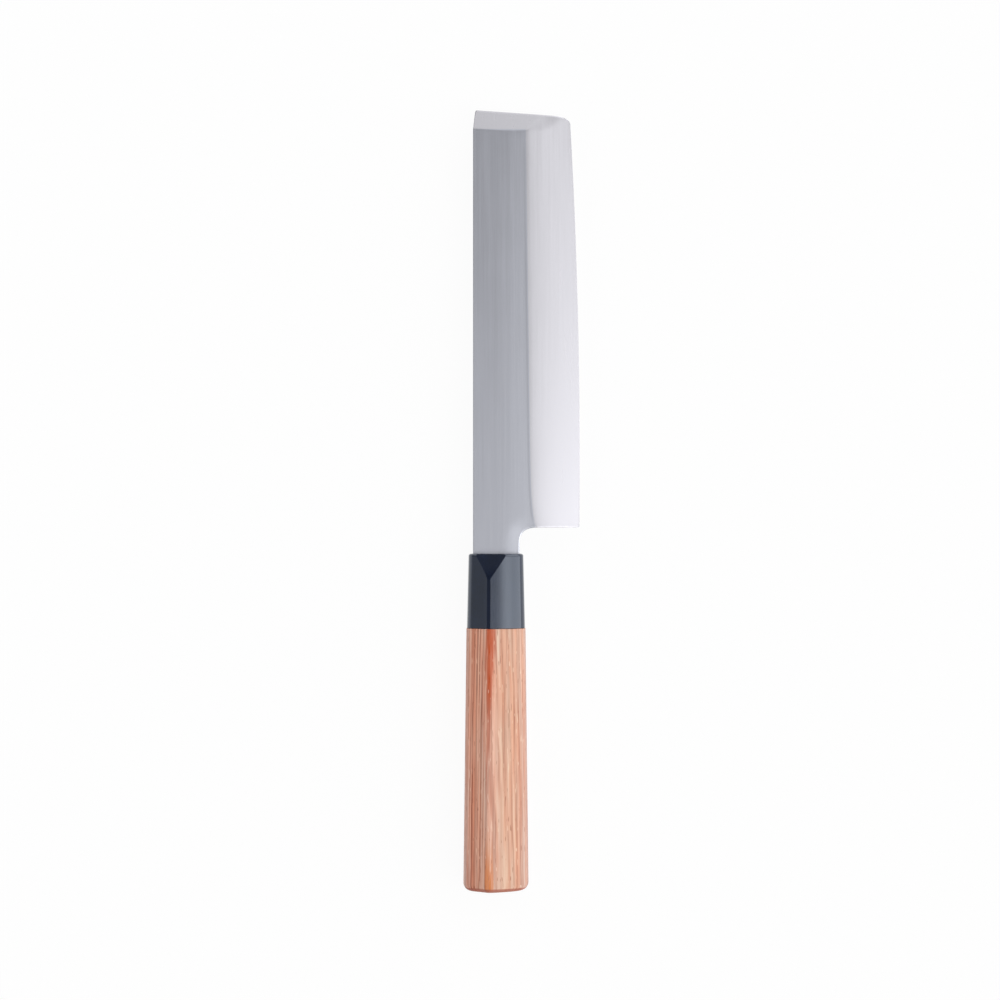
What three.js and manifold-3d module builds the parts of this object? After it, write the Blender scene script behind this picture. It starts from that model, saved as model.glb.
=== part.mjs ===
// Usuba: a Japanese vegetable knife with a single-bevel blade, a moulded ferrule and a
// chestnut-section handle of laminated wood. Millimetres, +Z up.
//
// The knife lies with its bevelled face up. +Y runs from the butt to the tip and +X from
// the spine to the cutting edge. While it is built, x = 0 is the handle's axis, y = 0 the
// front face of the ferrule and z = 0 the middle of the blade's thickness.

import * as THREE from "three";
import { mergeVertices } from "three/addons/utils/BufferGeometryUtils.js";
import Module from "manifold-3d";

// Blade, in plan
const EDGE_LENGTH = 165; // heel to the end of the cutting edge
const BLADE_HEIGHT = 43.75; // spine to the deepest point of the edge
const SPINE_OFFSET = 9.4; // handle axis to the spine
const EDGE_RADIUS = 2500; // long arc of the cutting edge
const EDGE_BELLY = 27; // heel to the deepest point of the edge
const SPINE_REACH = 6.2; // how far the tip line lies past the edge's end, at the spine
const CORNER_RISE = 3.4; // the same, above the edge's end
const TIP_CORNER = 6.4; // run of the rounded tip corner along the tip line
const SPINE_LEAN = 0.9; // how far the spine draws in at the tip
const NECK_LENGTH = 10.7; // ferrule to heel
const NECK_WIDTH = 19.1;
const CHOIL_RUN = 9; // curve between neck and heel, along the heel
const CHOIL_DROP = 7.6; // the same curve, along the neck
const CORNER_PULL = 0.65; // fullness of the tip corner: 0 is a chamfer, 1 a square corner
const CHOIL_PULL = 0.8; // fullness of the curve between neck and heel

// Blade, through its thickness
const BLADE_THICKNESS = 2.6;
const EDGE_LAND = 0.1; // thickness left at the cutting edge
const FLAT_WIDTH_HEEL = 23.85; // spine to the bevel's upper line, near the heel
const FLAT_WIDTH_TIP = 21.6; // the same at the tip
const HEEL_SWEEP = 1.9; // how far that line swings to the edge at the heel
const HEEL_SWEEP_LENGTH = 8;
const BEVEL_CROWN = 0.08; // how far the wide bevel stands proud of a flat
const TIP_BEVEL_LENGTH = 8; // bevel across the tip, measured at the spine
const TIP_THICKNESS = 1;
const SPINE_EASE = 0.3; // broken corners of the spine
const HOLLOW_DEPTH = 0.35; // hollow-ground back
const HOLLOW_RIM = 2.6; // flat rim left round the hollow
const HOLLOW_RUNOUT = 20; // how slowly the hollow runs out at both ends

// Tang and its bed
const TANG_LENGTH = 82;
const TANG_WIDTH = 9;
const TANG_END_WIDTH = 6;
const BED_WALL = 0.9; // room round the tang for its bed
const BED_END = 1.5; // room past the end of the tang

// Ferrule
const FERRULE_LENGTH = 30.4;
const FERRULE_FRONT_WIDTH = 22.4;
const FERRULE_FRONT_THICKNESS = 17.5;
const FERRULE_BACK_WIDTH = 23.8;
const FERRULE_BACK_THICKNESS = 18.6;
const FERRULE_ROUND = 0.9; // rounding of its front rim
const FERRULE_FRONT_WALL = 4;
const FACET_LENGTH = 11.3; // flat ground off the ridge at the front
const FACET_PITCH = THREE.MathUtils.degToRad(15.2);
const FACET_ROLL = THREE.MathUtils.degToRad(7.2);
const SLOT_GAP = 0.25; // clearance of the neck in the ferrule's mouth

// Wooden grip
const GRIP_LENGTH = 107.2;
const GRIP_FRONT_WIDTH = 24.2;
const GRIP_FRONT_THICKNESS = 19;
const GRIP_BUTT_WIDTH = 26.8;
const GRIP_BUTT_THICKNESS = 21;
const BUTT_CORNER = 3; // rounding of the butt's two corners, seen from above
const BUTT_RIM = 1.5; // rounding of the butt's rim above and below
const VENEER_THICKNESS = 1.4;
const TENON_WIDTH = 16.8;
const TENON_THICKNESS = 11.6;
const BOND_GAP = 0.1; // glue line between bonded pieces

// Chestnut section: a back that is nearly an ellipse and two facets that meet in a ridge
const RIDGE_OFFSET_FRONT = 3; // ridge to the handle axis, on the spine's side
const RIDGE_OFFSET_BUTT = 3.7;
const BROAD_FACET_SLOPE = THREE.MathUtils.degToRad(14);
const STEEP_FACET_SLOPE = THREE.MathUtils.degToRad(38);
const FACET_REACH = 0.72; // how far the facets stay straight
const SIDE_FULLNESS = 0.62; // how far the sides stay upright above the middle
const BACK_FULLNESS = 0.6; // squareness of the back, where 0.55 is an ellipse

// Fineness of the curves
const BLADE_STATIONS = 26;
const HOLLOW_STEPS = 10;
const BEVEL_STEPS = 4;
const CURVE_STEPS = 9;
const OVAL_STEPS = 40;
const ROUND_STEPS = 4;
const OVERRUN = 2; // how far cutting shapes reach past the faces that they cut
const WELD = 1e-4;

// Places that follow from the sizes
const top = BLADE_THICKNESS / 2;
const spineX = -SPINE_OFFSET;
const neckX = spineX + NECK_WIDTH;
const heelY = NECK_LENGTH;
const edgeEndY = heelY + EDGE_LENGTH;
const tipSpineY = edgeEndY + SPINE_REACH;
const tipEdgeY = edgeEndY + CORNER_RISE;
const tipBevelY = tipSpineY - TIP_BEVEL_LENGTH;
const shoulderY = -FERRULE_FRONT_WALL;
const tangEndY = shoulderY - TANG_LENGTH;
const tenonFrontY = shoulderY - BOND_GAP;
const gripFrontY = -FERRULE_LENGTH - BOND_GAP;
const buttY = gripFrontY - GRIP_LENGTH;
const lerp = THREE.MathUtils.lerp;

// A shallow arch over a span: 0 at both ends and 1 in the middle
const arch = (across) => 4 * across * (1 - across);

const wasm = await Module();
wasm.setup();

// A closed geometry as a solid that can be joined and cut
function solidOf(geometry) {
  const bare = new THREE.BufferGeometry();
  bare.setAttribute("position", geometry.getAttribute("position"));
  bare.setIndex(geometry.getIndex());
  const welded = mergeVertices(bare, WELD);
  const mesh = new wasm.Mesh({
    numProp: 3,
    vertProperties: new Float32Array(welded.getAttribute("position").array),
    triVerts: new Uint32Array(welded.getIndex().array),
  });
  return new wasm.Manifold(mesh);
}

// A solid as a geometry
function geometryOf(solid) {
  const mesh = solid.getMesh();
  const geometry = new THREE.BufferGeometry();
  geometry.setAttribute("position", new THREE.BufferAttribute(mesh.vertProperties, mesh.numProp));
  geometry.setIndex(new THREE.BufferAttribute(mesh.triVerts, 1));
  geometry.computeVertexNormals();
  return geometry;
}

// A closed skin over rings of points. The rings run from the front to the back, and the
// points of each run from +X to +Z. Each end is closed by a fan.
function loft(rings) {
  const count = rings[0].length;
  const points = rings.flat();
  const faces = [];
  for (let r = 0; r + 1 < rings.length; r += 1) {
    for (let i = 0; i < count; i += 1) {
      const next = (i + 1) % count;
      const front = r * count;
      const back = front + count;
      faces.push(front + i, front + next, back + i);
      faces.push(front + next, back + next, back + i);
    }
  }
  for (const [ring, start, front] of [
    [rings[0], 0, true],
    [rings.at(-1), points.length - count, false],
  ]) {
    const centre = points.length;
    const middle = new THREE.Vector3();
    ring.forEach((point) => middle.addScaledVector(point, 1 / count));
    points.push(middle);
    for (let i = 0; i < count; i += 1) {
      const a = start + i;
      const b = start + ((i + 1) % count);
      faces.push(centre, ...(front ? [b, a] : [a, b]));
    }
  }
  const geometry = new THREE.BufferGeometry().setFromPoints(points);
  geometry.setIndex(faces);
  return geometry;
}

// A block that spans the given limits
function block(low, high) {
  const size = new THREE.Vector3().subVectors(high, low);
  const middle = new THREE.Vector3().addVectors(low, high).divideScalar(2);
  return new THREE.BoxGeometry(size.x, size.y, size.z).translate(middle.x, middle.y, middle.z);
}

// A block that stands on z = 0, reaches far to all sides and cuts away what lies above a face
function planer(reach) {
  return new THREE.BoxGeometry(2 * reach, 2 * reach, reach).translate(0, 0, reach / 2);
}

// Edge, bevel line and hollow of the blade along its length

function edgeX(y) {
  const ahead = y - (heelY + EDGE_BELLY);
  return spineX + BLADE_HEIGHT - EDGE_RADIUS + Math.sqrt(EDGE_RADIUS ** 2 - ahead ** 2);
}

function bevelLineX(y) {
  const along = (y - heelY) / EDGE_LENGTH;
  const straight = spineX + lerp(FLAT_WIDTH_HEEL, FLAT_WIDTH_TIP, along);
  return straight + HEEL_SWEEP * Math.exp((heelY - y) / HEEL_SWEEP_LENGTH);
}

function hollowShare(y) {
  const fromHeel = (y - heelY - HOLLOW_RIM) / HOLLOW_RUNOUT;
  const fromTip = (tipEdgeY - HOLLOW_RIM - y) / HOLLOW_RUNOUT;
  const share = THREE.MathUtils.clamp(Math.min(fromHeel, fromTip), 0, 1);
  return share * (2 - share);
}

// One cross-section of the blade, placed at y and shaped as at the given station
function bladeRing(y, station) {
  const edge = edgeX(station);
  const bevelLine = bevelLineX(station);
  const depth = HOLLOW_DEPTH * hollowShare(station);
  const ring = [
    [spineX, SPINE_EASE - top],
    [spineX + SPINE_EASE, -top],
  ];
  for (let i = 0; i <= HOLLOW_STEPS; i += 1) {
    const across = i / HOLLOW_STEPS;
    const x = lerp(spineX + HOLLOW_RIM, edge - HOLLOW_RIM, across);
    ring.push([x, depth * arch(across) - top]);
  }
  ring.push([edge, -top]);
  for (let i = 0; i <= BEVEL_STEPS; i += 1) {
    const across = i / BEVEL_STEPS;
    const flat = lerp(EDGE_LAND - top, top, across);
    ring.push([lerp(edge, bevelLine, across), flat + BEVEL_CROWN * arch(across)]);
  }
  ring.push([spineX + SPINE_EASE, top], [spineX, top - SPINE_EASE]);
  return ring.map(([x, z]) => new THREE.Vector3(x, y, z));
}

// The blade's ground stock, longer than the blade at both ends
function bladeStock() {
  const endY = tipSpineY + OVERRUN;
  const rings = [];
  for (let i = BLADE_STATIONS; i >= 0; i -= 1) {
    const along = (1 - Math.cos((Math.PI * i) / BLADE_STATIONS)) / 2;
    const y = lerp(heelY, endY, along);
    rings.push(bladeRing(y, y));
  }
  rings.push(bladeRing(tangEndY - OVERRUN, heelY));
  return solidOf(loft(rings));
}

// Continues an outline round a corner that lies between two points
function roundCorner(outline, from, corner, to, pull) {
  const first = from.clone().lerp(corner, pull);
  const second = to.clone().lerp(corner, pull);
  outline.lineTo(from.x, from.y);
  outline.bezierCurveTo(first.x, first.y, second.x, second.y, to.x, to.y);
}

// The blade in plan, from the tang round the edge side to the spine. Along the edge and the
// spine it stands clear of the stock, whose own faces are kept there.
function bladeOutline() {
  const edgeEnd = new THREE.Vector2(edgeX(edgeEndY), edgeEndY);
  const tipSlope = (tipEdgeY - tipSpineY) / (edgeEnd.x - spineX);
  const tipLine = (x) => new THREE.Vector2(x, tipSpineY + tipSlope * (x - spineX));
  const outside = spineX + BLADE_HEIGHT + OVERRUN;
  const outline = new THREE.Shape();
  outline.moveTo(-TANG_END_WIDTH / 2, tangEndY);
  outline.lineTo(TANG_END_WIDTH / 2, tangEndY);
  outline.lineTo(TANG_WIDTH / 2, shoulderY);
  outline.lineTo(neckX, shoulderY);
  roundCorner(
    outline,
    new THREE.Vector2(neckX, heelY - CHOIL_DROP),
    new THREE.Vector2(neckX, heelY),
    new THREE.Vector2(neckX + CHOIL_RUN, heelY),
    CHOIL_PULL,
  );
  outline.lineTo(outside, heelY);
  outline.lineTo(outside, edgeEndY);
  roundCorner(outline, edgeEnd, tipLine(edgeEnd.x), tipLine(edgeEnd.x - TIP_CORNER), CORNER_PULL);
  const corner = tipLine(spineX + SPINE_LEAN);
  const leanPerLength = SPINE_LEAN / (corner.y - tipBevelY);
  outline.lineTo(corner.x, corner.y);
  outline.lineTo(spineX - OVERRUN, tipBevelY - OVERRUN / leanPerLength);
  outline.lineTo(spineX - OVERRUN, shoulderY);
  outline.lineTo(-TANG_WIDTH / 2, shoulderY);
  return outline;
}

// A plan outline as a prism that passes through the blade's thickness
function through(outline) {
  const depth = BLADE_THICKNESS + 2 * OVERRUN;
  const prism = new THREE.ExtrudeGeometry(outline, {
    depth,
    bevelEnabled: false,
    curveSegments: CURVE_STEPS,
  });
  return solidOf(prism.translate(0, 0, -depth / 2));
}

function makeBlade() {
  const slope = Math.atan((BLADE_THICKNESS - TIP_THICKNESS) / TIP_BEVEL_LENGTH);
  const tipCut = planer(EDGE_LENGTH).rotateX(-slope).translate(0, tipBevelY, top);
  return geometryOf(bladeStock().intersect(through(bladeOutline())).subtract(solidOf(tipCut)));
}

// Outer forms of the handle

// One chestnut section, drawn in from its full size at the sides and above and below
function gripRing(y, width, thickness, sideInset, crestInset) {
  const side = width / 2 - sideInset;
  const crest = thickness / 2 - crestInset;
  const ridge = -lerp(RIDGE_OFFSET_FRONT, RIDGE_OFFSET_BUTT, y / buttY);
  const broad = FACET_REACH * (side - ridge);
  const steep = FACET_REACH * (side + ridge);
  const broadEnd = crest - broad * Math.tan(BROAD_FACET_SLOPE);
  const steepEnd = crest - steep * Math.tan(STEEP_FACET_SLOPE);
  const upright = SIDE_FULLNESS * crest;
  const fullSide = BACK_FULLNESS * side;
  const fullCrest = BACK_FULLNESS * crest;
  const section = new THREE.Shape();
  section.moveTo(side, 0);
  section.bezierCurveTo(side, upright, ridge + broad, broadEnd, ridge, crest);
  section.bezierCurveTo(ridge - steep, steepEnd, -side, upright, -side, 0);
  section.bezierCurveTo(-side, -fullCrest, -fullSide, -crest, 0, -crest);
  section.bezierCurveTo(fullSide, -crest, side, -fullCrest, side, 0);
  const points = section.getPoints(CURVE_STEPS).slice(0, -1);
  return points.map((point) => new THREE.Vector3(point.x, y, point.y));
}

// Depths behind a rounded rim's face at which it has rings, from the face inwards
function rimDepths(radius) {
  return Array.from({ length: ROUND_STEPS + 1 }, (_, i) => {
    return radius * (1 - Math.cos((Math.PI / 2) * (i / ROUND_STEPS)));
  });
}

// How far a rounded rim is drawn in at a depth behind its face
function rimInset(radius, depth) {
  const short = Math.max(radius - depth, 0);
  return radius - Math.sqrt(radius * radius - short * short);
}

// An oval pin along the handle's axis between two places
function ovalPin(width, thickness, frontY, backY) {
  const oval = new THREE.Shape().absellipse(0, 0, width / 2, thickness / 2, 0, 2 * Math.PI);
  const pin = new THREE.ExtrudeGeometry(oval, {
    depth: frontY - backY,
    bevelEnabled: false,
    curveSegments: OVAL_STEPS,
  });
  return pin.rotateX(Math.PI / 2).translate(0, frontY, 0);
}

function makeFerrule() {
  const ring = (y, inset) => {
    const along = -y / FERRULE_LENGTH;
    const width = lerp(FERRULE_FRONT_WIDTH, FERRULE_BACK_WIDTH, along);
    const thickness = lerp(FERRULE_FRONT_THICKNESS, FERRULE_BACK_THICKNESS, along);
    return gripRing(y, width, thickness, inset, inset);
  };
  const rings = rimDepths(FERRULE_ROUND).map((depth) => {
    return ring(-depth, rimInset(FERRULE_ROUND, depth));
  });
  rings.push(ring(-FERRULE_LENGTH, 0));
  const boreEnd = -FERRULE_LENGTH - OVERRUN;
  const boreWidth = TENON_WIDTH + 2 * BOND_GAP;
  const boreThickness = TENON_THICKNESS + 2 * BOND_GAP;
  const bore = ovalPin(boreWidth, boreThickness, shoulderY, boreEnd);
  const mouth = block(
    new THREE.Vector3(spineX - SLOT_GAP, shoulderY - OVERRUN, -top - SLOT_GAP),
    new THREE.Vector3(neckX + SLOT_GAP, OVERRUN, top + SLOT_GAP),
  );
  const apex = ring(-FACET_LENGTH, 0).reduce((a, b) => (a.z > b.z ? a : b));
  const facet = planer(FERRULE_LENGTH).rotateX(-FACET_PITCH).rotateY(-FACET_ROLL);
  facet.translate(apex.x, apex.y, apex.z);
  return geometryOf(
    [bore, mouth, facet].reduce((body, cut) => body.subtract(solidOf(cut)), solidOf(loft(rings))),
  );
}

// The room for the tang and its bed, drawn in by an inset on every side but the front
function socket(inset, frontY) {
  const side = TANG_WIDTH / 2 + BED_WALL - inset;
  const height = top + BED_WALL - inset;
  return block(
    new THREE.Vector3(-side, tangEndY - BED_END + inset, -height),
    new THREE.Vector3(side, frontY, height),
  );
}

function makeTangBed() {
  const tangRoom = new THREE.Shape();
  const half = TANG_WIDTH / 2 + BOND_GAP;
  const endHalf = TANG_END_WIDTH / 2 + BOND_GAP;
  tangRoom.moveTo(-endHalf, tangEndY - BOND_GAP);
  tangRoom.lineTo(endHalf, tangEndY - BOND_GAP);
  tangRoom.lineTo(half, shoulderY);
  tangRoom.lineTo(half, shoulderY + OVERRUN);
  tangRoom.lineTo(-half, shoulderY + OVERRUN);
  tangRoom.lineTo(-half, shoulderY);
  const depth = BLADE_THICKNESS + 2 * BOND_GAP;
  const room = new THREE.ExtrudeGeometry(tangRoom, { depth, bevelEnabled: false });
  room.translate(0, 0, -depth / 2);
  return geometryOf(solidOf(socket(BOND_GAP, tenonFrontY)).subtract(solidOf(room)));
}

// The whole grip with its tenon and the socket for the tang
function gripSolid() {
  const ring = (y) => {
    const along = (gripFrontY - y) / GRIP_LENGTH;
    const width = lerp(GRIP_FRONT_WIDTH, GRIP_BUTT_WIDTH, along);
    const thickness = lerp(GRIP_FRONT_THICKNESS, GRIP_BUTT_THICKNESS, along);
    const depth = y - buttY;
    return gripRing(y, width, thickness, rimInset(BUTT_CORNER, depth), rimInset(BUTT_RIM, depth));
  };
  const depths = new Set([...rimDepths(BUTT_CORNER), ...rimDepths(BUTT_RIM)]);
  const rim = [...depths].sort((a, b) => b - a);
  const rings = [ring(gripFrontY), ...rim.map((depth) => ring(buttY + depth))];
  const tenon = ovalPin(TENON_WIDTH, TENON_THICKNESS, tenonFrontY, gripFrontY - OVERRUN);
  const body = solidOf(loft(rings)).add(solidOf(tenon));
  return body.subtract(solidOf(socket(0, tenonFrontY + OVERRUN)));
}

// The grip's veneers, from the back up. Each lies flat, parallel to the blade.
function makeVeneers() {
  const grip = gripSolid();
  const count = Math.round(GRIP_BUTT_THICKNESS / VENEER_THICKNESS);
  const reach = GRIP_BUTT_WIDTH + GRIP_BUTT_THICKNESS;
  const seams = Array.from({ length: count + 1 }, (_, i) => VENEER_THICKNESS * (i - count / 2));
  seams[0] = -reach;
  seams[count] = reach;
  return seams.slice(1).map((ceiling, i) => {
    const slab = block(
      new THREE.Vector3(-reach, buttY - OVERRUN, seams[i]),
      new THREE.Vector3(reach, tenonFrontY + OVERRUN, ceiling),
    );
    return geometryOf(grip.intersect(solidOf(slab)));
  });
}

// Materials and assembly

const steel = { color: 0xb4b6bd, roughness: 0.32, metalness: 1 };
const blackPlastic = { color: 0x14171d, roughness: 0.18, metalness: 0 };
const resin = { color: 0xb9a06a, roughness: 0.4, metalness: 0 };
const woods = [0xc98f78, 0xb87a62, 0xd8a58c, 0xb4694a].map((color) => {
  return { color, roughness: 0.55, metalness: 0 };
});

const knife = new THREE.Group();

function addPiece(name, geometry, finish) {
  const piece = new THREE.Mesh(geometry, new THREE.MeshStandardMaterial(finish));
  piece.name = name;
  knife.add(piece);
}

addPiece("blade", makeBlade(), steel);
addPiece("ferrule", makeFerrule(), blackPlastic);
addPiece("tang_bed", makeTangBed(), resin);
makeVeneers().forEach((geometry, i) => {
  addPiece(`veneer_${String(i + 1).padStart(2, "0")}`, geometry, woods[i % woods.length]);
});

// The origin is the middle of the footprint, on the surface under the handle
const box = new THREE.Box3().setFromObject(knife);
const middle = box.getCenter(new THREE.Vector3());
knife.position.set(-middle.x, -middle.y, -box.min.z);

export default knife;
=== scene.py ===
import math
from collections import namedtuple

import bmesh
import bpy
import numpy as np
from bpy.props import FloatProperty, FloatVectorProperty, PointerProperty
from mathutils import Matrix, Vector


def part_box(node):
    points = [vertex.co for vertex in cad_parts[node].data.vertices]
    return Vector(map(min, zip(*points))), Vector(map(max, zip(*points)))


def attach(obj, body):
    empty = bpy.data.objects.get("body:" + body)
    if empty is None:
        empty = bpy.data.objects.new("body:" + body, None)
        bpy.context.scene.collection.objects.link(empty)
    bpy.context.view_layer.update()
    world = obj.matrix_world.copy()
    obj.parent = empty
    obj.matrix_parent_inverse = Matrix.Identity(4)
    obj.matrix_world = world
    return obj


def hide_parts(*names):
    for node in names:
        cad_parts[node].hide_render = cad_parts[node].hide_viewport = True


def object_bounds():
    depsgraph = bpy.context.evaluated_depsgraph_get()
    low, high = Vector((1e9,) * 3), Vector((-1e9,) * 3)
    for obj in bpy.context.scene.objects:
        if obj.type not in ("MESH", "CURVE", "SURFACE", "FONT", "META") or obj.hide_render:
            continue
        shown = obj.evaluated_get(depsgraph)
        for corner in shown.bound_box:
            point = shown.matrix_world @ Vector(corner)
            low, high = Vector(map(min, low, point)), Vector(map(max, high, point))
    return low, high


bl_info = {
    "name": "Usuba Knife",
    "version": (1, 0, 0),
    "blender": (4, 5, 0),
    "location": "3D View > Sidebar > Knife",
    "description": "Dresses the packed solids of a usuba with a laminated chestnut handle",
    "category": "Add Mesh",
}

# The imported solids, which fix every place
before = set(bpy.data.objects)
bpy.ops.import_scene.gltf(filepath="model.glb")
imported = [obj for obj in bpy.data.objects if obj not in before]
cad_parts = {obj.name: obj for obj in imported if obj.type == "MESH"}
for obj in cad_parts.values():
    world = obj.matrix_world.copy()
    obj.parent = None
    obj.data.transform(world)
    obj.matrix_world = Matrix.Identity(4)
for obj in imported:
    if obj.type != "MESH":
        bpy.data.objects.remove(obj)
CAD_LOW, CAD_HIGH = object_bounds()

# One millimetre in metres, and the only body
MM = 0.001
BODY = "root"

BLADE_LOW, BLADE_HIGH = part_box("blade")
FERRULE_LOW, FERRULE_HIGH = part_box("ferrule")
VENEER_NAMES = sorted(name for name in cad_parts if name.startswith("veneer_"))
VENEER_BOXES = [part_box(name) for name in VENEER_NAMES]
GRIP_LOW, GRIP_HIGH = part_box(VENEER_NAMES[0])
BUTT_WIDTH = max(high.x - low.x for low, high in VENEER_BOXES)
BUTT_THICKNESS = CAD_HIGH.z - CAD_LOW.z
VENEER_THICKNESS = VENEER_BOXES[0][1].z - VENEER_BOXES[0][0].z

# Handle axis, front face of the ferrule and middle of the blade's thickness
ORIGIN = Vector((
    (FERRULE_LOW.x + FERRULE_HIGH.x) / 2,
    FERRULE_HIGH.y,
    (BLADE_LOW.z + BLADE_HIGH.z) / 2,
))

# Growth lines in each layer
LINES_PER_LAYER = 2


def length(name, description, default):
    """A length that a user may change, in metres."""
    return FloatProperty(
        name=name, description=description, default=default, min=0.0, precision=5, unit="LENGTH"
    )


def angle(name, description, degrees):
    """An angle that a user may change."""
    return FloatProperty(
        name=name, description=description, default=math.radians(degrees), unit="ROTATION"
    )


def share(name, description, default):
    """A number between 0 and 1 that a user may change."""
    return FloatProperty(
        name=name, description=description, default=default, min=0.0, max=1.0, subtype="FACTOR"
    )


def colour(name, description, red, green, blue):
    """A colour that a user may change, given as it looks on a screen from 0 to 255."""
    return FloatVectorProperty(
        name=name,
        description=description,
        default=[to_linear(part / 255) for part in (red, green, blue)],
        min=0.0,
        max=1.0,
        subtype="COLOR",
    )


def to_linear(value):
    """Screen brightness as light, both from 0 to 1."""
    return value / 12.92 if value <= 0.04045 else ((value + 0.055) / 1.055) ** 2.4


class BladeSizes(bpy.types.PropertyGroup):
    """Sizes of the blade"""

    height: length("Height", "Spine to the deepest point of the edge", BLADE_HIGH.x - BLADE_LOW.x)
    spine_offset: length("Spine Offset", "Handle axis to the spine", ORIGIN.x - BLADE_LOW.x)
    thickness: length("Thickness", "Thickness at the spine", BLADE_HIGH.z - BLADE_LOW.z)
    edge_length: length("Edge Length", "Heel to the end of the edge", 165 * MM)
    edge_radius: length("Edge Radius", "Long arc of the edge", 2500 * MM)
    edge_belly: length("Edge Belly", "Heel to the deepest point of the edge", 27 * MM)
    spine_reach: length("Spine Reach", "Tip line past the edge's end, at the spine", 6.2 * MM)
    corner_rise: length("Corner Rise", "Tip line past the edge's end, above it", 3.4 * MM)
    tip_corner: length("Tip Corner", "Run of the rounded corner of the tip", 6.4 * MM)
    tip_point: length("Tip Point", "Rounding of the corner of spine and tip", 0.8 * MM)
    spine_lean: length("Spine Lean", "How far the spine draws in at the tip", 0.9 * MM)
    neck_length: length("Neck Length", "Ferrule to heel", 10.7 * MM)
    neck_width: length("Neck Width", "Width where the blade enters the ferrule", 19.1 * MM)
    choil_run: length("Choil Run", "Curve between neck and heel, along the heel", 9 * MM)
    choil_drop: length("Choil Drop", "The same curve, along the neck", 7.6 * MM)
    flat_width_heel: length("Flat Width, Heel", "Spine to bevel line near the heel", 23.85 * MM)
    flat_width_tip: length("Flat Width, Tip", "Spine to bevel line at the tip", 21.6 * MM)
    heel_sweep: length("Heel Sweep", "Swing of the bevel line at the heel", 1.9 * MM)
    heel_sweep_length: length("Heel Sweep Length", "How soon that swing fades", 8 * MM)
    flat_fall: length("Flat Fall", "Fall of the flat towards the bevel line", 0.15 * MM)
    flat_fall_width: length("Flat Fall Width", "Width of the flat that falls", 12 * MM)
    edge_land: length("Edge Land", "Thickness left at the edge", 0.06 * MM)
    edge_bevel: length("Edge Bevel", "Width of the narrow bevel at the edge", 0.6 * MM)
    edge_bevel_drop: length("Edge Bevel Drop", "Height of that narrow bevel", 0.012 * MM)
    tip_bevel: length("Tip Bevel", "Length of the bevel across the tip", 7.9 * MM)
    tip_thickness: length("Tip Thickness", "Thickness left at the tip", 1.0 * MM)
    spine_ease: length("Spine Ease", "Rounding of the spine", 0.14 * MM)
    neck_ease: length("Neck Ease", "Rounding of the neck, the choil and the tang", 0.4 * MM)
    neck_fall: length("Neck Fall", "Fall of the flat towards the neck and choil", 0.33 * MM)
    neck_fall_width: length("Neck Fall Width", "Width of the flat that falls there", 6.5 * MM)
    tip_ease: length("Tip Ease", "Rounding of the tip", 0.15 * MM)
    heel_ease: length("Heel Ease", "Width of the rounding of the heel", 0.45 * MM)
    heel_ease_height: share("Heel Ease Height", "Its height as a share of its width", 0.4)
    hollow_depth: length("Hollow Depth", "Depth of the hollow ground into the back", 0.35 * MM)
    hollow_rim: length("Hollow Rim", "Flat rim left round that hollow", 2.6 * MM)
    hollow_runout: length("Hollow Runout", "How slowly the hollow starts and ends", 20 * MM)
    tang_length: length("Tang Length", "Shoulder to the end of the tang", 82 * MM)
    tang_width: length("Tang Width", "Width of the tang at the shoulder", 9 * MM)
    tang_end_width: length("Tang End Width", "Width of the tang at its end", 6 * MM)


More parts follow.
